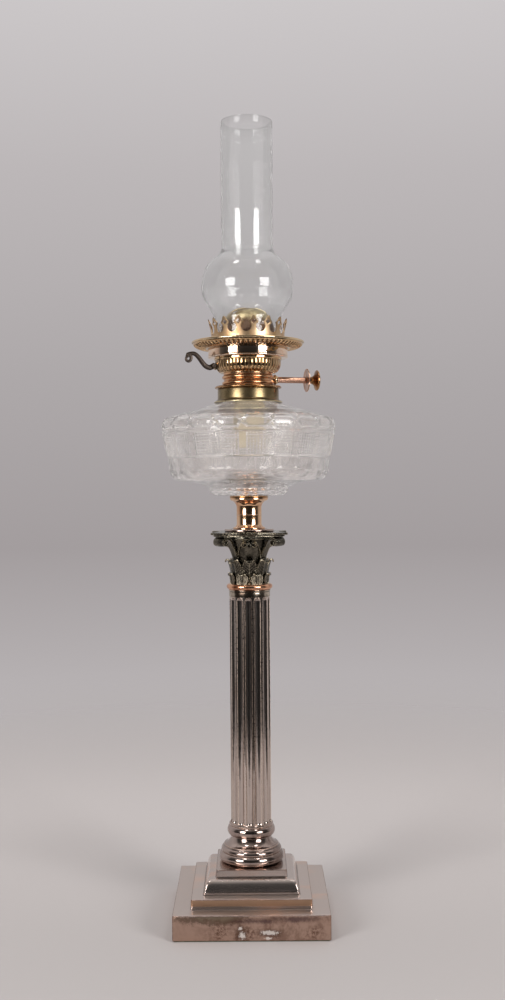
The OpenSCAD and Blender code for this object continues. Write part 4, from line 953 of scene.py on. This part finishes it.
def glass_outside():
    """Uncut outside of the glass, with the points of its cut band spaced for the cutting."""
    line = [(13.6, 7.4), (13.6, 0.2), (FONT_FOOT_R - 8.3, 0)]
    line += arc(FONT_FOOT_R - 8.3, 6, 8.3, 6, -80, 0, 10)
    line += [(FONT_FOOT_R, 7.2), (FONT_FOOT_R + 1.3, 8.4), (FONT_FOOT_R + 9.2, 11.6), (FONT_R - 25.4, 14.3)]
    line += arc(FONT_R - 18.4, BAND_LOW - 8.9, 12, 14.2, -72, -4, 22)
    line = refine(line, 1.4, False)
    groove = [(FONT_R - 5.6, BAND_LOW - 1.8), (FONT_R - 6.7, BAND_LOW - 0.9), (FONT_R - 5.2, BAND_LOW)]
    rows = 32
    band = [(FONT_R - 5.2 + 4.7 * k / rows, BAND_LOW + (BAND_TOP - BAND_LOW) * k / rows) for k in range(1, rows + 1)]
    above = [(FONT_R - 1.5, BAND_TOP + 0.9), (FONT_R - 0.3, BAND_TOP + 1.8), (FONT_R, BAND_TOP + 2.8)]
    shoulder = [(FONT_R, SHOULDER_LOW - 5.4 + 0.5 * k) for k in range(10)]
    shoulder += arc(FONT_R - 7.5, SHOULDER_LOW, 7.5, 7.5, 2, 62, 18)
    slope = [slope_point(1, 0), slope_point(0.758, 0.25), slope_point(0.504, 0.44), slope_point(0.238, 0.76),
             slope_point(0.06, 0.94), (NECK_R, FONT_H)]
    slope = refine(slope, 1.8, False)
    return line + [Vector(p) for p in groove + band + above + shoulder] + slope + [Vector((NECK_R, FONT_H + 9.8))]


def glass_inside():
    inner = FONT_R - 5.4
    line = [(NECK_R - 2.3, FONT_H + 9.8), (NECK_R - 2.3, FONT_H - 1.8)]
    line += [(slope_point(0.19, 0.76)[0], slope_point(0.19, 0.76)[1] - 4.3),
             (slope_point(0.68, 0.33)[0], slope_point(0.68, 0.33)[1] - 4.8)]
    line += arc(inner - 8, 65, 8, 8, 70, 2, 8)
    line += [(inner - 5, 38.6), (inner - 8, 28)]
    line += arc(inner - 16.4, 27.6, 9, 9, -20, -78, 7)
    line += [(40, 16.4), (20, 15.6), (2, 15.4)]
    return soften(line, 1.5, False)


def ridge(distance, depth, half_width):
    """Depth of a cut with rounded sides at a distance from its middle line."""
    return depth * (0.5 + 0.5 * math.cos(math.pi * min(1.0, distance / half_width)))


def cut_depth(r, z, s, pitch):
    """How deep the glass is cut, s mm from the middle of a bar, where a panel takes pitch mm."""
    half = pitch / 2
    p = half - abs(s)
    beside = abs(s)
    depth = 0.0
    bar = 3.9 * pitch / 24.8
    if BAND_LOW + 0.1 < z < BAND_TOP - 0.1:
        depth = ridge(abs(beside - bar), 0.9, 0.8)
        if beside > bar:
            cell = (half - bar) / 3
            t = (z - BAND_LOW) / (BAND_TOP - BAND_LOW) * 8
            u = p / cell
            peak = min(0.5 - abs(u % 1 - 0.5), 0.5 - abs(t % 1 - 0.5))
            depth = max(depth, 0.15 + 1.0 * max(0.0, 1 - peak / 0.3))
    oval_z, oval_h, oval_w = BAND_LOW - 11.4, 8.4, 0.41 * pitch
    far = (p / oval_w) ** 2 + ((z - oval_z) / oval_h) ** 2
    if far < 1:
        depth = max(depth, 2.0 * (1 - far) + 0.25)
    depth = max(depth, hexagon_cut(z, beside, half))
    return depth


def hexagon_cut(z, beside, half):
    """Long flat hexagons round the shoulder, joined in a cross over each bar."""
    middle, high, point = SHOULDER_LOW + 0.6, 4.6, 4.6
    if not BAND_TOP + 2 < z < SHOULDER_TOP + 2:
        return 0.0
    rise = min(1.0, beside / point) * high
    gap = abs(abs(z - middle) - rise)
    across = gap * math.cos(math.atan2(high, point)) if beside < point else gap
    return ridge(across, 1.6, 1.9)


def glass_font(material):
    """The cut font: fine cut panels between bars, ovals under them, hexagons round the shoulder."""
    step = 2 * math.pi / PANELS
    bar, cells = 3.9 / 24.8, 6
    turns = [0.0, 0.4 * bar, 0.8 * bar, bar]
    turns += [bar + (1 - 2 * bar) * k / (4 * cells) for k in range(1, 4 * cells + 1)]
    turns += [1 - 0.8 * bar, 1 - 0.4 * bar]
    outside, inside = glass_outside(), glass_inside()
    bar_turn = FRONT - math.radians(3.6)
    angles = [bar_turn + step * (k + t) for k in range(PANELS) for t in turns]
    offsets = [(t if t <= 0.5 else t - 1) for k in range(PANELS) for t in turns]
    points = []
    count = len(outside)
    for j, here in enumerate(outside):
        ahead = outside[min(j + 1, count - 1)] - outside[max(j - 1, 0)]
        normal = Vector((ahead.y, -ahead.x)).normalized()
        pitch = here.x * step
        on_slope = here.y > SHOULDER_TOP + 1 and here.x < FONT_R - 9
        for a, t in zip(angles, offsets):
            depth = cut_depth(here.x, here.y, t * pitch, pitch)
            r, z = here.x - normal.x * depth, here.y - normal.y * depth
            if on_slope and here.y < FONT_H - 0.5:
                r *= math.cos(step / 2) / math.cos((0.5 - abs(t)) * step)
            if 0.5 < here.y < 7.3 and here.x > FONT_FOOT_R - 4:
                scallop = math.cos(12 * (a - bar_turn))
                r -= 1.5 * abs(scallop) * min(1, (here.x - FONT_FOOT_R + 4) / 3)
            points.append((r * math.cos(a), r * math.sin(a), Z_FONT + z))
    for here in inside:
        points += [(here.x * math.cos(a), here.x * math.sin(a), Z_FONT + here.y) for a in angles]
    columns = len(angles)
    rows = count + len(inside)
    faces = grid_faces(rows, columns, False, True)
    low, high = len(points), len(points) + 1
    points += [(0, 0, Z_FONT + 7.4), (0, 0, Z_FONT + 15.4)]
    last = (rows - 1) * columns
    for i in range(columns):
        k = (i + 1) % columns
        faces.append((low, k, i))
        faces.append((high, last + i, last + k))
    mesh = mesh_from("glass_font_looks", points, faces)
    piece = finish_mesh("glass_font_looks", mesh, 18)
    piece.visible_shadow = False
    stand_for(piece, "glass_font", material)


def font_collar(material):
    z0 = foot("font_collar")
    high = top("font_collar") - z0
    inner, r, flare, skirt = 27.4, 28.8, 32.2, 23.9
    outline = [(inner, 0.3), (inner + 0.5, 0), (flare - 0.2, 0), (flare + 0.1, 0.8), (flare - 1, 1.6)]
    outline += arc(r + 2.2, 4.2, 2.2, 2.2, 250, 185, 8)
    outline += [(r, high - 1.4), (r - 0.5, high), (skirt, high), (skirt, high - 1.6),
                (inner - 0.4, high - 2.4), (inner, high - 3)]
    turned("font_collar", outline, z0, material)


# Burner

def burner_base(material):
    outline = [(0, 1), (22.6, 1), (22.6, -8), (23.8, -8), (23.8, 0), (30.6, 0), (31.5, 0.7), (31.6, 1.3),
               (30.4, 2.4), (25.2, 3), (0, 3)]
    turned("burner_base", outline, Z_BURNER, material, closed=False)


def burner_neck(material):
    z0 = foot("burner_neck")
    r, high = 23.8, top("burner_neck") - foot("burner_neck")
    outline = [(r - 1.9, 0), (r + 0.3, 0)] + arc(r - 0.9, 2.1, 1.7, 1.7, -60, 66, 12)
    outline += [(r - 0.7, 4.1), (r - 1.0, 4.9), (r - 0.7, 5.7)] + arc(r - 0.9, 7.7, 1.7, 1.7, -66, 66, 12)
    outline += [(r - 0.8, 9.6), (r - 0.3, high), (r - 1.9, high)]
    turned("burner_neck", outline, z0, material)


def box_mesh(name, low, high, turn=0.0):
    """A plain block, only used to cut a slot."""
    points = [(x, y, z) for z in (low[2], high[2]) for x, y in
              ((low[0], low[1]), (high[0], low[1]), (high[0], high[1]), (low[0], high[1]))]
    faces = [(0, 3, 2, 1), (4, 5, 6, 7), (0, 1, 5, 4), (1, 2, 6, 5), (2, 3, 7, 6), (3, 0, 4, 7)]
    mesh = mesh_from(name, points, faces)
    mesh.transform(Matrix.Rotation(turn, 4, "Z"))
    return mesh


def cut_by(name, mesh, cutters):
    """The mesh with each cutter taken away from it."""
    for index, cutter in enumerate(cutters):
        tool = bpy.data.objects.new(name + "_cutter", cutter)
        bpy.context.scene.collection.objects.link(tool)
        mesh = with_modifiers(name, mesh, boolean={"object": tool, "operation": "DIFFERENCE", "solver": "EXACT"})
        bpy.data.objects.remove(tool)
    return mesh


def burner_bowl(material):
    """The bowl with 48 narrow upright gadroons and a slot for the lever."""
    z0 = foot("burner_bowl")
    high = top("burner_bowl") - z0
    neck, r, wall = 23.8, 31.0, 1.4
    outside = [(neck - 0.3, 0), (neck + 2.6, 0.1)] + arc(r - 8.5, high - 5, 8.5, high - 4.4, -58, 0, 14)
    outside += [(r, high - 2.4), (r + 0.8, high - 1.6), (r + 0.8, high)]
    inside = [(r + 0.8 - wall, high), (r - wall, high - 2.8), (r - wall - 0.5, high - 6),
              (r - wall - 2.9, high - 9.6), (neck - 1.5, 1.6), (neck - 1.5, 0)]
    outline = refine(soften(outside, 0.3, False), 0.9, False) + [Vector(p) for p in inside]
    count = len(outline) - len(inside)

    def gadroon(index, point, a):
        height = point[1]
        if index >= count:
            return 0
        window = min(1, max(0, (height - 0.5) / 0.5)) * min(1, max(0, (high - 2.6 - height) / 0.6))
        return window * 0.15 * (1 - math.cos(48 * (a - BURNER_TURN)))

    mesh = turned_mesh("burner_bowl_looks", outline, z0, 576, True, gadroon)
    slot = box_mesh("lever_slot", (-r - 4, -2.2, z0 + 1.6), (-r + 8, 2.2, z0 + 10.8), BURNER_TURN)
    mesh = cut_by("burner_bowl_looks", mesh, [slot])
    stand_for(finish_mesh("burner_bowl_looks", mesh, 40), "burner_bowl", material)


def burner_drum(material):
    z0, r, wall = foot("burner_drum"), 37.6, 0.9
    high = top("burner_drum") - z0
    outline = [(30, 0), (r - 1.2, 0), (r - 0.4, 0.3), (r - 0.1, 0.5)]
    outline += arc(r - 0.25, 1.1, 0.55, 0.55, -70, 70, 8)
    outline += [(r - 0.1, 1.75), (r, 2.1), (r, high), (r - wall, high), (r - wall, wall + 0.4), (30, wall + 0.4)]
    turned("burner_drum", outline, z0, material, 192, radius=0.15)


def winder_bush(material):
    outline = [(2.95, 21.2), (4.2, 21.2), (4.2, 25.2), (4.9, 25.3), (4.9, 26.5), (4.3, 27.0), (3.8, 28.4), (2.95, 28.4)]
    mesh = turned_mesh("winder_bush_looks", soften(outline, 0.25), 0, 64)
    move_to_winder(mesh)
    stand_for(finish_mesh("winder_bush_looks", mesh), "winder_bush", material)


DISC_REACH = 56.4


def winder_disc(material):
    """Thin milled disc with a raised boss on its back and a fine beaded edge."""
    r = 10.95
    outline = [(1.3, 0), (4.3, 0), (4.9, 0.45), (9.6, 0.5), (10.1, 0.3), (r - 0.2, 0.45), (r, 0.8), (r, 1.2),
               (r - 0.3, 1.5), (1.3, 1.5)]

    def milled(index, point, a):
        return 0.09 * math.cos(72 * a) if point[0] > r - 0.35 else 0

    mesh = turned_mesh("winder_disc_looks", soften(outline, 0.2), DISC_REACH, 288, True, milled)
    move_to_winder(mesh)
    stand_for(finish_mesh("winder_disc_looks", mesh), "winder_disc", material)


def winder_knob(material):
    r, long = 9.75, 11.4
    outline = [(0, 0), (2.6, 0)] + arc(7.8, 0.2, 5.0, 7.0, 180, 100, 12)
    outline += [(r - 0.6, long - 3.6), (r, long - 3), (r, long - 2.2), (r - 0.8, long - 1.5)]
    outline += arc(0, long - 1.8, r - 1.6, 1.8, 10, 90, 10)
    mesh = turned_mesh("winder_knob_looks", soften(outline, 0.25, False), DISC_REACH + 2.1, 96, False)
    move_to_winder(mesh)
    stand_for(finish_mesh("winder_knob_looks", mesh), "winder_knob", material)


LEVER_PATH = [(-1.0, 0.3), (0, 0), (3.6, -1.7), (7.6, -0.2), (11, 3.6), (14, 7.6), (17.6, 10.8), (21.4, 11.2)]


def lever(material):
    """The S shaped bar: a rounded section that thins towards its curled end."""
    curl, ring_r = Vector((23.8, 6.2)), 2.25
    ring = [curl + Vector((ring_r * (1.9 - 0.9 * min(1, i / 9)) * math.cos(a), ring_r * (1.9 - 0.9 * min(1, i / 9)) * math.sin(a)))
            for i, a in enumerate([math.radians(60 - 15 * k * -1) for k in range(27)])]
    path = smooth_path(LEVER_PATH + [tuple(p) for p in ring[:1]], 5)[:-1] + ring
    count = len(path)
    points = []
    sides = 16
    for i, here in enumerate(path):
        ahead = (Vector(path[min(i + 1, count - 1)]) - Vector(path[max(i - 1, 0)])).normalized()
        normal = Vector((-ahead.y, ahead.x))
        s = i / (count - 1)
        wide = 2.75 * (1 - 0.62 * s)
        thick = 1.45 * (1 - 0.35 * s)
        for k in range(sides):
            a = 2 * math.pi * k / sides
            c, d = math.cos(a), math.sin(a)
            across = math.copysign(abs(c) ** 0.6, c) * wide
            through = math.copysign(abs(d) ** 0.6, d) * thick
            spot = Vector(here) + normal * across
            points.append((spot.x, spot.y, through))
    faces = grid_faces(count, sides, False, True)
    faces.append(tuple(range(sides)))
    faces.append(tuple((count - 1) * sides + k for k in reversed(range(sides))))
    mesh = mesh_from("extinguisher_lever_looks", points, faces)
    inner = box_mesh("lever_tail", (-16.6, -0.9, -1.5), (1.5, 0.9, 1.5))
    heel = box_mesh("lever_heel", (-16.6, -0.9, -1.5), (-14.2, 1.7, 1.5))
    work = bmesh.new()
    for part in (mesh, inner, heel):
        work.from_mesh(part)
    work.to_mesh(mesh)
    work.free()
    place = (Matrix.Rotation(BURNER_TURN, 4, "Z") @ Matrix.Translation((-33.2 * MM, 0, Z_PIVOT * MM))
             @ Matrix.Rotation(math.pi, 4, "Z") @ Matrix.Rotation(math.pi / 2, 4, "X"))
    mesh.transform(place)
    stand_for(finish_mesh("extinguisher_lever_looks", mesh, 40), "extinguisher_lever", material)


# Gallery

def gallery_dish(material):
    """The spun pan: ribs pressed into its underside, a rolled rim and a short collar."""
    t, rim, gallery_r, rise = 0.9, 0.95, 53.2, top("gallery_dish") - Z_GALLERY
    drum_r, dome_r = 37.6, 25.5
    flat_r = gallery_r - 7.9
    up = rise - 0.9
    skirt = drum_r - t - 0.3
    under = [(drum_r + 0.4, 0.1), (drum_r + 1.6, 0.1), (flat_r, 0.4)]
    under += arc(flat_r, 0.4 + up, gallery_r - flat_r - 0.9, up, -80, -8, 14)
    over = arc(flat_r, 0.4 + up, gallery_r - flat_r - 0.9 - t, up - t, -8, -80, 10)
    outline = [(dome_r - 0.5, 0.2), (skirt - 2, 0.2), (skirt - 2, -3), (skirt, -3), (skirt, 0.1)]
    outline += refine(under, 0.9, False)
    outline = [Vector(p) for p in outline] + [Vector(p) for p in arc(gallery_r - rim, rise - rim, rim, rim, -60, 190, 14)]
    outline += [Vector(p) for p in over] + [Vector((flat_r - 1, 0.5 + t)), Vector((drum_r - 0.6, 2)),
                                            Vector((dome_r - 0.5, 2))]
    ribbed = len(refine(under, 0.9, False))

    def pressed(index, point, a):
        if not 5 <= index < 5 + ribbed:
            return 0
        radius = point[0]
        window = min(1, max(0, (radius - drum_r - 2.2) / 0.8)) * min(1, max(0, (gallery_r - 1.6 - radius) / 0.8))
        return window * 0.42 * (1 - math.cos(72 * (a - BURNER_TURN)))

    mesh = turned_mesh("gallery_dish_looks", outline, Z_GALLERY, 576, True, pressed)
    stand_for(finish_mesh("gallery_dish_looks", mesh, 45), "gallery_dish", material)


CROWN_POINTS = 16


def crown_half(w, h):
    """Right half of one crown point laid flat, with half its round gap and half its diamond."""
    gap_r, gap_z, cusp_z = w * 0.335, h * 0.6, h * 0.79
    diamond = w * 0.185
    line = [(0, 0), (w / 2, 0)] + arc(w / 2, gap_z, gap_r, gap_r, 270, 126, 14)
    line += [(w * 0.335, cusp_z), (w * 0.3, h * 0.802), (w * 0.235, h * 0.828), (w * 0.185, h * 0.868),
             (w * 0.15, h * 0.915), (w * 0.1, h * 0.965), (w * 0.035, h), (0, h)]
    line += [(0, cusp_z + diamond), (diamond, cusp_z), (0, cusp_z - diamond)]
    return line


def gallery_crown(material):
    """The pierced crown: sixteen ogee points with diamonds, round gaps between, a rolled foot."""
    z0 = foot("gallery_crown")
    h = top("gallery_crown") - z0
    foot_r, lean, thick = 33.9, 3.2, 0.75
    w = 2 * math.pi * foot_r / CROWN_POINTS
    turn = math.radians(9)
    flat = bmesh.new()
    for side in (1, -1):
        ring = [flat.verts.new((side * x, z, 0)) for x, z in crown_half(w, h)]
        flat.faces.new(ring if side > 0 else list(reversed(ring)))
    flat.normal_update()
    bmesh.ops.triangulate(flat, faces=flat.faces)
    cuts = [((0, h * k / 20, 0), (0, 1, 0)) for k in range(1, 20)]
    cuts += [((w * k / 10, 0, 0), (1, 0, 0)) for k in range(-4, 5)]
    for place, direction in cuts:
        everything = flat.verts[:] + flat.edges[:] + flat.faces[:]
        bmesh.ops.bisect_plane(flat, geom=everything, plane_co=place, plane_no=direction, dist=1e-5)
    bmesh.ops.remove_doubles(flat, verts=flat.verts, dist=1e-4)
    flat.verts.index_update()
    spots = [tuple(v.co) for v in flat.verts]
    tris = [tuple(v.index for v in face.verts) for face in flat.faces]
    flat.free()
    points = []
    faces = []
    for k in range(CROWN_POINTS):
        first = len(points)
        centre = turn + 2 * math.pi * k / CROWN_POINTS
        for x, z, _ in spots:
            t = max(0, z / h - 0.42) / 0.58
            r = foot_r + lean * (0.35 * t + 0.65 * t * t)
            a = centre + x / foot_r
            points.append((r * math.cos(a), r * math.sin(a), z0 + z))
        faces += [tuple(first + i for i in face) for face in tris]
    mesh = mesh_from("gallery_crown_looks", points, faces)
    mesh = with_modifiers("gallery_crown_looks", mesh, solidify={"thickness": thick * MM, "offset": -1.0},
                          bevel={"width": 0.14 * MM, "segments": 2, "limit_method": "ANGLE", "angle_limit": 0.9})
    bead = turned_mesh("crown_bead", [Vector(p) for p in arc(foot_r + 0.1, 0.75, 0.6, 0.75, 0, 330, 11)], z0, 144)
    work = bmesh.new()
    work.from_mesh(mesh)
    work.from_mesh(bead)
    work.to_mesh(mesh)
    work.free()
    stand_for(finish_mesh("gallery_crown_looks", mesh, 38), "gallery_crown", material)


def deflector_dome(material):
    """The dome with its two flame slots."""
    z0 = foot("deflector_dome")
    h = top("deflector_dome") - z0
    r, t = 25.5, 0.7
    outline = [(r + 3.6, 0), (r + 3.6, 0.8), (r, 0.8), (r, h * 0.3)] + arc(8, h * 0.3, r - 8, h * 0.7, 0, 90, 20)
    outline += [(0, h), (0, h - t)] + arc(8, h * 0.3, r - 8 - t, h * 0.7 - t, 90, 0, 16) + [(r - t, 0)]
    mesh = turned_mesh("deflector_dome_looks", soften(outline, 0.4), z0, 144)
    wide, wick_y = 32.4, 9.25
    slots = [box_mesh("flame_slot", (-wide / 2, s * wick_y - 2.7, z0 + h * 0.62), (wide / 2, s * wick_y + 2.7, z0 + h + 2),
                      BURNER_TURN) for s in (1, -1)]
    mesh = cut_by("deflector_dome_looks", mesh, slots)
    stand_for(finish_mesh("deflector_dome_looks", mesh, 35), "deflector_dome", material)


def chimney_glass(material):
    """The blown chimney: a straight foot, a full bulge, a long stack with a fire polished lip."""
    z0 = foot("chimney_glass")
    long = top("chimney_glass") - z0
    foot_r, bulge_r, top_r, t = 31.7, 43.6, 24.6, 1.8

    def wall(d):
        line = [(foot_r - d, 0), (foot_r - d, 24)] + arc(foot_r + 7.2 - d, 24, 7.2, 12, 180, 130, 10)
        line += arc(bulge_r - 12 - d, 56.2, 12, 18.6, -48, 0, 12)
        line += arc(bulge_r - 18.4 - d, 56.2, 18.4, 28, 5, 63, 16)
        line += arc(top_r + 9 - d, 92.5, 9, 8.3, 230, 180, 12) + [(top_r - d, long)]
        return line

    outline = [Vector(p) for p in wall(0)[:-1]]
    lip = arc(top_r - t / 2, long - t / 2, t / 2, t / 2, 0, 180, 8)
    outline += [Vector(p) for p in lip] + [Vector(p) for p in reversed(wall(t)[:-1])]
    mesh = turned_mesh("chimney_glass_looks", refine(outline, 8), z0, 160)
    piece = finish_mesh("chimney_glass_looks", mesh, 45)
    piece.visible_shadow = False
    stand_for(piece, "chimney_glass", material)


# Camera, light and stage

def make_camera():
    """The photograph's viewpoint: level with the column, just over a metre away."""
    data = bpy.data.cameras.new("camera")
    data.sensor_width = 36
    data.lens = 42.909
    camera = bpy.data.objects.new("camera", data)
    pitch, roll = -0.01263, 0.0071
    look = Matrix.Rotation(math.pi / 2 + pitch, 4, "X") @ Matrix.Rotation(-roll, 4, "Z")
    camera.matrix_world = Matrix.Translation((0.00335, -1.12669, 0.40688)) @ look
    bpy.context.scene.collection.objects.link(camera)
    bpy.context.scene.camera = camera


def softbox(name, angle, away, height, wide, tall, radiance):
    """A soft lamp that faces the object, angle degrees round from the camera's side."""
    light = bpy.data.lights.new(name, "AREA")
    light.shape = "RECTANGLE"
    light.size = wide
    light.size_y = tall
    light.energy = radiance * math.pi * wide * tall
    light.color = (1.0, 0.985, 0.975)
    lamp = bpy.data.objects.new(name, light)
    a = FRONT + math.radians(angle)
    lamp.location = (away * math.cos(a), away * math.sin(a), height)
    aim = Vector((0, 0, 0.40)) - lamp.location
    lamp.rotation_euler = aim.to_track_quat("-Z", "Y").to_euler()
    lamp.visible_camera = False
    bpy.context.scene.collection.objects.link(lamp)


def studio_world():
    """A pale backdrop for the camera. Reflections see it behind and beside, and a dim room in front."""
    world = bpy.data.worlds.new("studio")
    bpy.context.scene.world = world
    world.use_nodes = True
    tree = world.node_tree
    background = tree.nodes["Background"]
    direction = tree.nodes.new("ShaderNodeTexCoord").outputs["Generated"]
    split = tree.nodes.new("ShaderNodeSeparateXYZ")
    tree.links.new(direction, split.inputs[0])

    def ramp(value, low, high, stops):
        scale = tree.nodes.new("ShaderNodeMapRange")
        for socket, given in zip(scale.inputs[1:3], (low, high)):
            socket.default_value = given
        tree.links.new(value, scale.inputs[0])
        node = tree.nodes.new("ShaderNodeValToRGB")
        tree.links.new(scale.outputs[0], node.inputs[0])
        band = node.color_ramp
        while len(band.elements) < len(stops):
            band.elements.new(0.5)
        for element, (place, colour) in zip(band.elements, stops):
            element.position = place
            element.color = colour
        return node.outputs[0]

    backdrop = ramp(split.outputs["Z"], -0.42, 0.40, [
        (0.0, srgb(193, 188, 189)), (0.20, srgb(194, 189, 190)), (0.30, srgb(184, 179, 180)),
        (0.45, srgb(163, 157, 158)), (0.62, srgb(173, 168, 169)), (0.82, srgb(188, 183, 184)),
        (1.0, srgb(206, 202, 203))])
    room = ramp(split.outputs["Y"], -1.0, 1.0, [
        (0.0, (0.018, 0.018, 0.018, 1)), (0.30, (0.03, 0.03, 0.03, 1)), (0.46, (0.08, 0.078, 0.076, 1)),
        (0.55, (0.44, 0.425, 0.425, 1)), (0.75, (0.58, 0.56, 0.56, 1)), (1.0, (0.46, 0.445, 0.445, 1))])
    above = ramp(split.outputs["Z"], -0.1, 1.0, [
        (0.0, (0.0, 0.0, 0.0, 1)), (0.6, (0.02, 0.02, 0.02, 1)), (1.0, (0.45, 0.44, 0.43, 1))])
    total = tree.nodes.new("ShaderNodeMix")
    total.data_type = "RGBA"
    total.blend_type = "ADD"
    total.inputs[0].default_value = 1.0
    tree.links.new(room, total.inputs[6])
    tree.links.new(above, total.inputs[7])
    path = tree.nodes.new("ShaderNodeLightPath")
    seen = tree.nodes.new("ShaderNodeMath")
    seen.operation = "MAXIMUM"
    tree.links.new(path.outputs["Is Camera Ray"], seen.inputs[0])
    tree.links.new(path.outputs["Is Transmission Ray"], seen.inputs[1])
    choose = tree.nodes.new("ShaderNodeMix")
    choose.data_type = "RGBA"
    tree.links.new(seen.outputs[0], choose.inputs[0])
    tree.links.new(total.outputs[2], choose.inputs[6])
    tree.links.new(backdrop, choose.inputs[7])
    tree.links.new(choose.outputs[2], background.inputs["Color"])


def floor():
    """A pale floor that fades into the backdrop further out."""
    f = Finish("pale_floor", roughness=0.75, specular_ior_level=0.2)
    # The floor's colour is lighter towards the back: painted light making up for the lamps' light falling off behind
    # the object.
    f.set("Base Color", f.mix(f.step(f.y, -0.2, 0.5), srgb(184, 179, 178), srgb(214, 208, 207)))
    far = f.math("SQRT", f.math("ADD", f.math("MULTIPLY", f.x, f.x), f.math("MULTIPLY", f.y, f.y)))
    path = f.node("ShaderNodeLightPath").outputs
    table = f.math("MULTIPLY", f.step(f.y, -0.60, -0.52), f.step(far, 0.7, 0.9, 1.0, 0.0))
    fade = f.step(far, 0.45, 1.5, 1.0, 0.0)
    mirrored = f.math("MULTIPLY", path["Is Glossy Ray"], f.math("SUBTRACT", table, fade))
    f.set("Alpha", f.math("ADD", fade, mirrored))
    f.bump(f.noise(260, 3, 0.6), 0.00005, 0.3)
    rings = [(0.001, 0)] + [(1600 * k / 12, 0) for k in range(1, 13)]
    mesh = turned_mesh("floor", [Vector(p) for p in rings], 0, 96, False)
    piece = bpy.data.objects.new("floor", mesh)
    mesh.materials.append(f.material)
    bpy.context.scene.collection.objects.link(piece)


# Everything together

def dress_nodes(materials, own):
    """CAD nodes that stay take a finish by their slot, or one of their own."""
    for name, node in frame["nodes"].items():
        node.data.materials.clear()
        node.data.materials.append(own.get(name) or materials[slot_of[name]])


def build():
    bpy.context.scene.view_settings.view_transform = "Standard"
    make_camera()
    studio_world()
    softbox("left_softbox", -43, 1.5, 0.67, 0.62, 0.66, 12)
    softbox("right_softbox", 43, 1.5, 0.67, 0.62, 0.66, 12)
    softbox("left_upper_lamp", -43, 0.8, 1.95, 0.26, 0.3, 12)
    softbox("right_upper_lamp", 43, 0.8, 1.95, 0.26, 0.3, 12)
    floor()
    brass = worn_metal("polished_brass", srgb(238, 208, 170), srgb(214, 170, 124), srgb(84, 54, 34), 0.055,
                       0.45, srgb(252, 232, 196))
    rose = worn_metal("rose_brass", srgb(240, 212, 188), srgb(214, 164, 132), srgb(84, 52, 38), 0.05,
                      0.5, srgb(250, 228, 206))
    copper = worn_metal("polished_copper", srgb(228, 188, 152), srgb(198, 142, 104), srgb(72, 44, 32), 0.08,
                        0.5, srgb(248, 218, 192))
    old_brass = worn_metal("old_brass", srgb(146, 128, 96), srgb(104, 88, 58), srgb(44, 36, 24), 0.24,
                           0.6, srgb(240, 228, 188))
    pale_brass = worn_metal("pale_brass", srgb(176, 160, 126), srgb(136, 118, 88), srgb(84, 68, 48), 0.4,
                            0.5, srgb(240, 232, 208))
    dark_brass = worn_metal("dark_brass", srgb(150, 112, 70), srgb(98, 68, 42), srgb(40, 26, 16), 0.3,
                            0.7, srgb(190, 150, 100), False)
    # On the ribbed brass the darkening begins at slight bends already, so the grooves between gadroons and ribs carry
    # painted shade as well as dirt.
    ribbed = worn_metal("ribbed_brass", srgb(214, 178, 134), srgb(184, 138, 94), srgb(60, 38, 24), 0.06,
                        0.45, srgb(254, 236, 200), dirt_and_shade_from=0.14, dirt_and_shade_full=-0.16)
    # The pierced brass's dark edge colour is painted shadow round the crown's piercings.
    pierced = worn_metal("pierced_brass", srgb(206, 176, 140), srgb(184, 144, 102), srgb(70, 46, 32), 0.34,
                         0.45, srgb(84, 60, 42))
    knob = worn_metal("handled_brass", srgb(168, 124, 84), srgb(96, 66, 44), srgb(40, 26, 16), 0.12,
                      0.8, srgb(226, 184, 136))
    neck = worn_metal("neck_copper", srgb(222, 172, 130), srgb(176, 118, 78), srgb(62, 36, 24), 0.16,
                      0.6, srgb(252, 222, 190))
    disc = worn_metal("disc_copper", srgb(196, 156, 134), srgb(140, 98, 78), srgb(64, 40, 30), 0.12,
                      0.7, srgb(230, 196, 172))
    plate = plinth_plate()
    foot_plate = column_plate("foot_plate", srgb(180, 162, 154), srgb(118, 100, 92), srgb(206, 178, 160), 0.55, 1.6)
    shaft_plate = column_plate("shaft_plate", srgb(200, 186, 178), srgb(140, 122, 112), srgb(222, 198, 180), 0.5, 1.5)
    capital_plate = column_plate("capital_plate", srgb(112, 106, 94), srgb(50, 47, 42), srgb(198, 184, 160), 0.8, 1.9, 6.0)
    iron = dark_iron()
    steel = plain_steel()
    cut_glass = clear_glass("cut_glass", (0.93, 0.908, 0.888, 1), 0.00008, 0.05, 0.86, 1.0, 1.5)
    blown_glass = clear_glass("blown_glass", (0.99, 1.0, 0.995, 1), 0.00025, 0.05, 0.92, 0.0, 1.4)
    dress_nodes({
        "silver_plate": plate, "silver_plate_dark": capital_plate, "copper": copper, "brass": brass,
        "old_brass": old_brass, "pale_brass": pale_brass, "dark_brass": dark_brass, "dark_iron": iron,
        "steel": steel, "cast_iron": cast_iron(), "wood": oiled_wood(), "baize": baize(), "cotton": cotton(),
        "cut_glass": cut_glass, "chimney_glass": blown_glass}, {"winder_sleeve": disc, "winder_spindle": disc, "wick_tubes": old_brass})
    base_shell(plate)
    column_foot(foot_plate)
    fluted_shaft(shaft_plate)
    neck_ring(ring_plate())
    capital_bell(capital_plate)
    leaves("lower_leaves", capital_plate, 17.4, 8.6, 1.0, 1.5, 5.6, math.pi / 8)
    leaves("upper_leaves", capital_plate, 15.45, 21.2, 3.6, 2.1, 5.8, 0)
    corner_volutes(capital_plate)
    helices(capital_plate)
    abacus(capital_plate)
    cap_disc(foot_plate)
    font_socket(copper)
    font_ferrule(knob)
    glass_font(cut_glass)
    font_collar(old_brass)
    burner_base(knob)
    burner_neck(neck)
    burner_bowl(ribbed)
    burner_drum(rose)
    winder_bush(brass)
    winder_disc(disc)
    winder_knob(knob)
    lever(iron)
    gallery_dish(ribbed)
    gallery_crown(pierced)
    deflector_dome(dome_brass())
    chimney_glass(blown_glass)


build()
